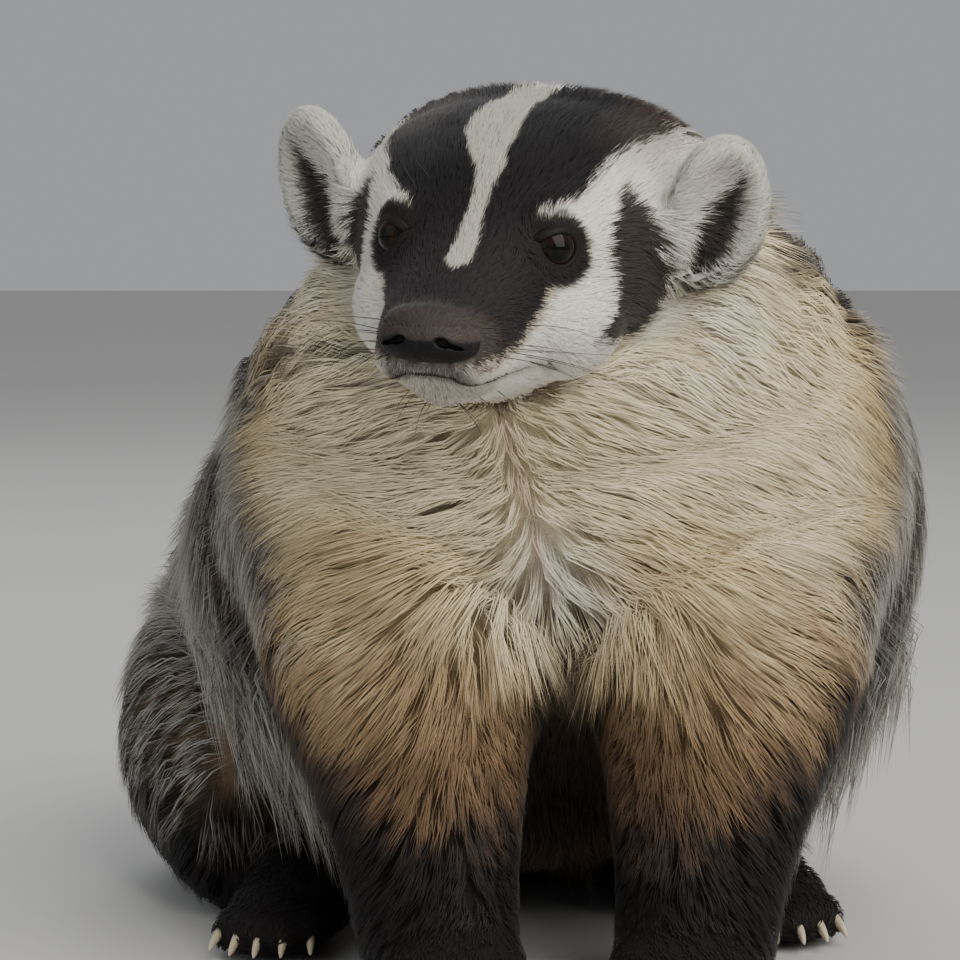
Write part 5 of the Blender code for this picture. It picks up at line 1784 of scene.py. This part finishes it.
@dataclass
class Nose:
    """The leather pad with its nostrils and middle groove."""

    head: Head
    squareness: float = 2.5
    nostril: Triple = (0.0068, 0.0, 0.0003)
    nostril_half: Pair = (0.002, 0.0013)
    slit: Triple = (0.0098, 0.0, -0.0007)
    slit_half: Pair = (0.0026, 0.0007)
    groove: float = 0.0005
    velvet: Pair = (-0.0001, 0.0017)

    def build(self, coat: "Coat", leather: Material, hair: Material) -> None:
        """Shapes the pad, sets it in place of its node and lays short hair over its top.

        Args:
            coat: The coat, which lays the hair.
            leather: The pad's finish.
            hair: The hair's finish.
        """
        form = Form.from_bmesh(ball(Vector(), (1, 1, 1), detail=6), linear(17, 15, 17))
        square = (np.abs(form.points) ** self.squareness).sum(axis=1) ** (1 / self.squareness)
        share = form.points / square[:, None]
        points = share * np.array(self.head.nose_half)
        x, z = points[:, 0], points[:, 2]
        front = smoothstep(0.1, -0.5, share[:, 1])
        inward = np.zeros(len(points))
        holes = ((self.nostril, self.nostril_half), (self.slit, self.slit_half))
        for (middle_x, _, middle_z), (wide, high) in holes:
            tilt = 0.25 * (np.abs(x) - middle_x)
            gap = np.hypot((np.abs(x) - middle_x) / wide, (z - middle_z + tilt) / high)
            inward = np.maximum(inward, smoothstep(1.25, 0.65, gap))
        gap = np.hypot((np.abs(x) - self.nostril[0]) / self.nostril_half[0],
                       (z - self.nostril[2]) / self.nostril_half[1])
        rim = np.exp(-((gap - 1.5) / 0.45) ** 2)
        below = smoothstep(0.0022, -0.003, z)
        cleft = np.exp(-(x / 0.0008) ** 2) * (0.35 + 0.65 * below)
        points[:, 1] += front * (0.0026 * inward - 0.0001 * rim + self.groove * cleft)
        # Nostrils and their side slits painted near black: painted shade of their hollows.
        form.tint = blend(form.tint, BLACK, inward * front)
        level = self.velvet[0] + self.velvet[1] * np.exp(-((np.abs(x) - self.nostril[0]) / 0.0026) ** 2)
        upper = smoothstep(level, level + 0.0018, z)
        form.tint = blend(form.tint, linear(66, 58, 54), upper)
        form.points = points
        place = (self.head.place.matrix() @ Matrix.Translation(self.head.nose)
                 @ Matrix.Rotation(math.radians(self.head.nose_tilt), 4, "X"))
        form = form.moved(place)
        coat.velvet(form, share @ np.array(place.to_3x3()).T, upper, hair)
        form.piece("nose_pad", leather, "nose_leather", ["nose"])


@dataclass
class Lips:
    """The dark edges of the closed lips along the mouth's line."""

    head: Head
    skin: Skin
    radius: float = 0.0006
    lift: float = 0.0001
    evening: int = 12

    def build(self, leather: Material) -> None:
        """Lays the lips along the mouth on the skin.

        Args:
            leather: Their finish.
        """
        tree, line = self.skin.tree, []
        for point in self.head.place.outside(self.head.mouth_line()):
            found, normal, _, _ = tree.find_nearest(Vector(point))
            line.append((found, normal))
        for _ in range(self.evening):
            middle = [(before[0] + 2 * here[0] + after[0]) / 4
                      for before, here, after in zip(line, line[1:], line[2:])]
            line = [line[0], *zip(middle, (here[1] for here in line[1:-1])), line[-1]]
        found = [tree.find_nearest(place) for place, _ in line]
        line = [(place + normal * self.lift, normal) for place, normal, _, _ in found]
        rings = []
        for index, (place, normal) in enumerate(line):
            ahead = (line[min(index + 1, len(line) - 1)][0] - line[max(index - 1, 0)][0]).normalized()
            taper = min(1.0, 0.35 + 0.16 * min(index, len(line) - 1 - index))
            side = ahead.cross(normal).normalized()
            size = self.radius * taper
            rings.append(oval(place, side, side.cross(ahead), size, size * 0.9, 10))
        Form.from_bmesh(loft(rings), linear(52, 40, 36)).piece("lips", leather, "nose_leather")


@dataclass
class Claws:
    """The claws: long pale digging claws in front and short ones behind."""

    body: Body
    front_length: float = 0.04
    hind_length: float = 0.023
    root: float = 0.007
    radius: float = 0.0031
    tip_radius: float = 0.0004
    bend: float = 1.0
    steps: int = 14
    sides: int = 14

    def claw(self, start: Vector, heading: Vector, length: float) -> Form:
        """One curved claw, hollowed a little beneath.

        Args:
            start: Where it leaves the toe.
            heading: Which way it starts.
            length: Its length.

        Returns:
            The form.
        """
        side = heading.cross(Vector((0, 0, 1))).normalized()
        rings, shares = [], []
        place = start.copy()
        for step in range(self.steps + 1):
            share = step / self.steps
            angle = self.bend * (share - 0.25)
            along = (heading * math.cos(angle) - Vector((0, 0, 1)) * math.sin(angle)).normalized()
            up = side.cross(along)
            radius = self.radius * (1 - share) ** 0.6 + self.tip_radius
            centre = Vector((place.x, place.y, max(place.z, radius + 0.0012)))
            ring = oval(centre, side, up, radius * 0.8, radius, self.sides, 2.3)
            rings.append([point - up * min(0.0, (point - centre).dot(up) + radius * 0.55) for point in ring])
            shares += [share] * self.sides
            place += along * length / self.steps
        form = Form.from_bmesh(loft(rings), linear(150, 132, 104))
        shares = np.array(shares + [0.0, 1.0])[:, None]
        base, tip = linear(92, 76, 60), linear(206, 192, 164)
        form.tint = base + (tip - base) * smoothstep(0.1, 0.85, shares)
        return form

    def build(self, horn: Material) -> None:
        """Sets the claws of all four feet.

        Args:
            horn: Their finish.
        """
        for part, name, length in ((Part.FOREPAW, "claws_front", self.front_length),
                                   (Part.HINDPAW, "claws_hind", self.hind_length)):
            forms = [self.claw(middle - heading * self.root, heading, length)
                     for side in SIDES for middle, heading in self.body.toes(part, side)]
            Form.joined(forms).piece(name, horn, "paw")


@dataclass
class Whiskers:
    """Thin dark whiskers on the muzzle, over the eyes and under the chin."""

    head: Head
    skin: Skin
    radius: float = 0.00017
    steps: int = 9
    tufts: Rows = (
        (0.02, -0.038, -0.018, 0.036), (0.0215, -0.033, -0.021, 0.04),
        (0.019, -0.036, -0.025, 0.03), (0.0225, -0.028, -0.024, 0.042),
        (0.0225, -0.024, -0.029, 0.034), (0.02, -0.042, -0.022, 0.026),
        (0.023, -0.029, -0.016, 0.034), (0.018, -0.045, -0.018, 0.02),
        (0.023, -0.02, -0.033, 0.026), (0.006, -0.04, -0.042, 0.018),
        (0.01, -0.033, -0.043, 0.02), (0.014, -0.026, -0.043, 0.018),
        (0.003, -0.033, -0.043, 0.016), (0.019, 0.002, 0.015, 0.022),
        (0.015, 0.001, 0.0155, 0.018),
    )

    def build(self, hair: Material) -> None:
        """Sets the whiskers.

        Args:
            hair: Their finish.
        """
        rng = np.random.default_rng(SEED + 40)
        tree = self.skin.tree
        turn = self.head.place.matrix()
        forms = []
        for side in SIDES:
            for x, y, z, length in self.tufts:
                jitter = rng.normal(0, 0.0012, 3)
                found, normal, _, _ = tree.find_nearest(turn @ (Vector((side * x, y, z)) + Vector(jitter)))
                back = turn.to_3x3() @ Vector((side * 0.5, 0.8, -0.15))
                bend = Vector(rng.normal(0, 0.35, 3)) + Vector((0, 0, -0.5))
                forms.append(self.whisker(found - normal * 0.001, (normal * 0.9 + back).normalized(), bend,
                                          length * rng.uniform(0.8, 1.2)))
        Form.joined(forms).piece("whiskers", hair, "face_fur")

    def whisker(self, start: Vector, heading: Vector, bend: Vector, length: float) -> Form:
        """One tapered whisker.

        Args:
            start: Its root.
            heading: Which way it starts.
            bend: Which way it curves.
            length: Its length.

        Returns:
            The form.
        """
        rings = []
        place = start.copy()
        for step in range(self.steps + 1):
            share = step / self.steps
            along = (heading + bend * share ** 1.5).normalized()
            side = along.orthogonal().normalized()
            radius = self.radius * (1 - 0.85 * share)
            rings.append(oval(place.copy(), side, along.cross(side), radius, radius, 5))
            place += along * length / self.steps
        return Form.from_bmesh(loft(rings), linear(58, 48, 42))


@dataclass
class Studio:
    """The plain floor, the soft lights and the camera at the photograph's viewing angle."""

    aim: Triple = (-0.0264, 0.0, 0.167)
    distance: float = 1.25
    elevation: float = 5.0
    pixel: float = 0.00033
    frame_pixels: int = 960
    floor_half: float = 6.0
    world: Tuple[float, float, float, float] = (0.86, 0.87, 0.9, 1.0)
    world_strength: float = 0.42
    light_aim: Triple = (0.0, 0.0, 0.12)
    lights: Sequence[Tuple[Triple, float, float, Triple]] = (
        ((0.9, -1.3, 1.4), 46.0, 1.9, (1.0, 0.98, 0.93)),
        ((-1.3, -0.9, 0.9), 3.5, 1.4, (0.88, 0.94, 1.0)),
        ((-0.3, 1.4, 1.6), 10.0, 1.2, (0.95, 0.97, 1.0)),
    )

    def build(self, pale: Material) -> None:
        """Sets up the studio.

        Args:
            pale: The floor's finish.
        """
        self.floor(pale)
        for index, (place, power, size, colour) in enumerate(self.lights):
            light = bpy.data.lights.new("soft_light_%d" % index, "AREA")
            light.energy, light.size, light.color = power, size, colour
            self.hang(light, Vector(place), Vector(self.light_aim) - Vector(place))
        self.camera()
        world = bpy.data.worlds.new("studio_air")
        world.use_nodes = True
        ground = world.node_tree.nodes["Background"]
        ground.inputs["Color"].default_value = self.world
        ground.inputs["Strength"].default_value = self.world_strength
        bpy.context.scene.world = world

    def floor(self, material: Material) -> None:
        """Lays the floor."""
        shape = bmesh.new()
        bmesh.ops.create_grid(shape, x_segments=12, y_segments=12, size=self.floor_half)
        mesh = bpy.data.meshes.new("floor")
        shape.to_mesh(mesh)
        shape.free()
        mesh.materials.append(material)
        obj = bpy.data.objects.new("floor", mesh)
        bpy.context.scene.collection.objects.link(obj)

    @staticmethod
    def hang(data: bpy.types.ID, place: Vector, heading: Vector) -> bpy.types.Object:
        """Puts a light or the camera at a place, looking along a heading."""
        obj = bpy.data.objects.new(data.name, data)
        bpy.context.scene.collection.objects.link(obj)
        obj.location, obj.rotation_euler = place, heading.to_track_quat("-Z", "Y").to_euler()
        return obj

    def camera(self) -> None:
        """Sets the camera where the photograph was taken from."""
        rise = math.radians(self.elevation)
        back = Vector((0.0, -math.cos(rise), math.sin(rise)))
        camera = bpy.data.cameras.new("camera")
        camera.sensor_width = 36
        camera.lens = 18 / (self.frame_pixels / 2 * self.pixel / self.distance)
        camera.clip_start = 0.01
        place = Vector(self.aim) + ORIGIN + back * self.distance
        bpy.context.scene.camera = self.hang(camera, place, -back)


def main() -> None:
    """Builds the animal from the skin outwards, then the studio round it."""
    logging.basicConfig(level=logging.INFO, format="%(message)s")
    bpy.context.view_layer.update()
    head = Head()
    body = Body(head)
    ears = {side: Ear(head, side) for side in SIDES}
    markings = Markings(head, ears)
    skin = Skin(head, body, ears, markings)
    skin.build()
    skin.piece(SkinFinish("badger_underfur").make())
    hair = {region.value.slot: HairFinish("hair_" + region.value.slot).make() for region in Region}
    coat = Coat(skin)
    coat.build(hair)
    coat.fringe(hair["body_fur"])
    leather = LeatherFinish("nose_leather").make()
    wet = EyeFinish("badger_eye").make()
    lid = LeatherFinish("lid_leather", 2600.0, 0.6, 0.0001).make()
    for side in (1, -1):
        Eye(head, side).build(wet, lid)
    Nose(head).build(coat, leather, hair["face_fur"])
    Lips(head, skin).build(leather)
    Claws(body).build(HornFinish("badger_horn").make())
    Whiskers(head, skin).build(HairFinish("whisker", 0.4, 0.1, 0.0).make())
    Studio().build(FloorFinish("studio_floor").make())


if __name__ == "__main__":
    main()
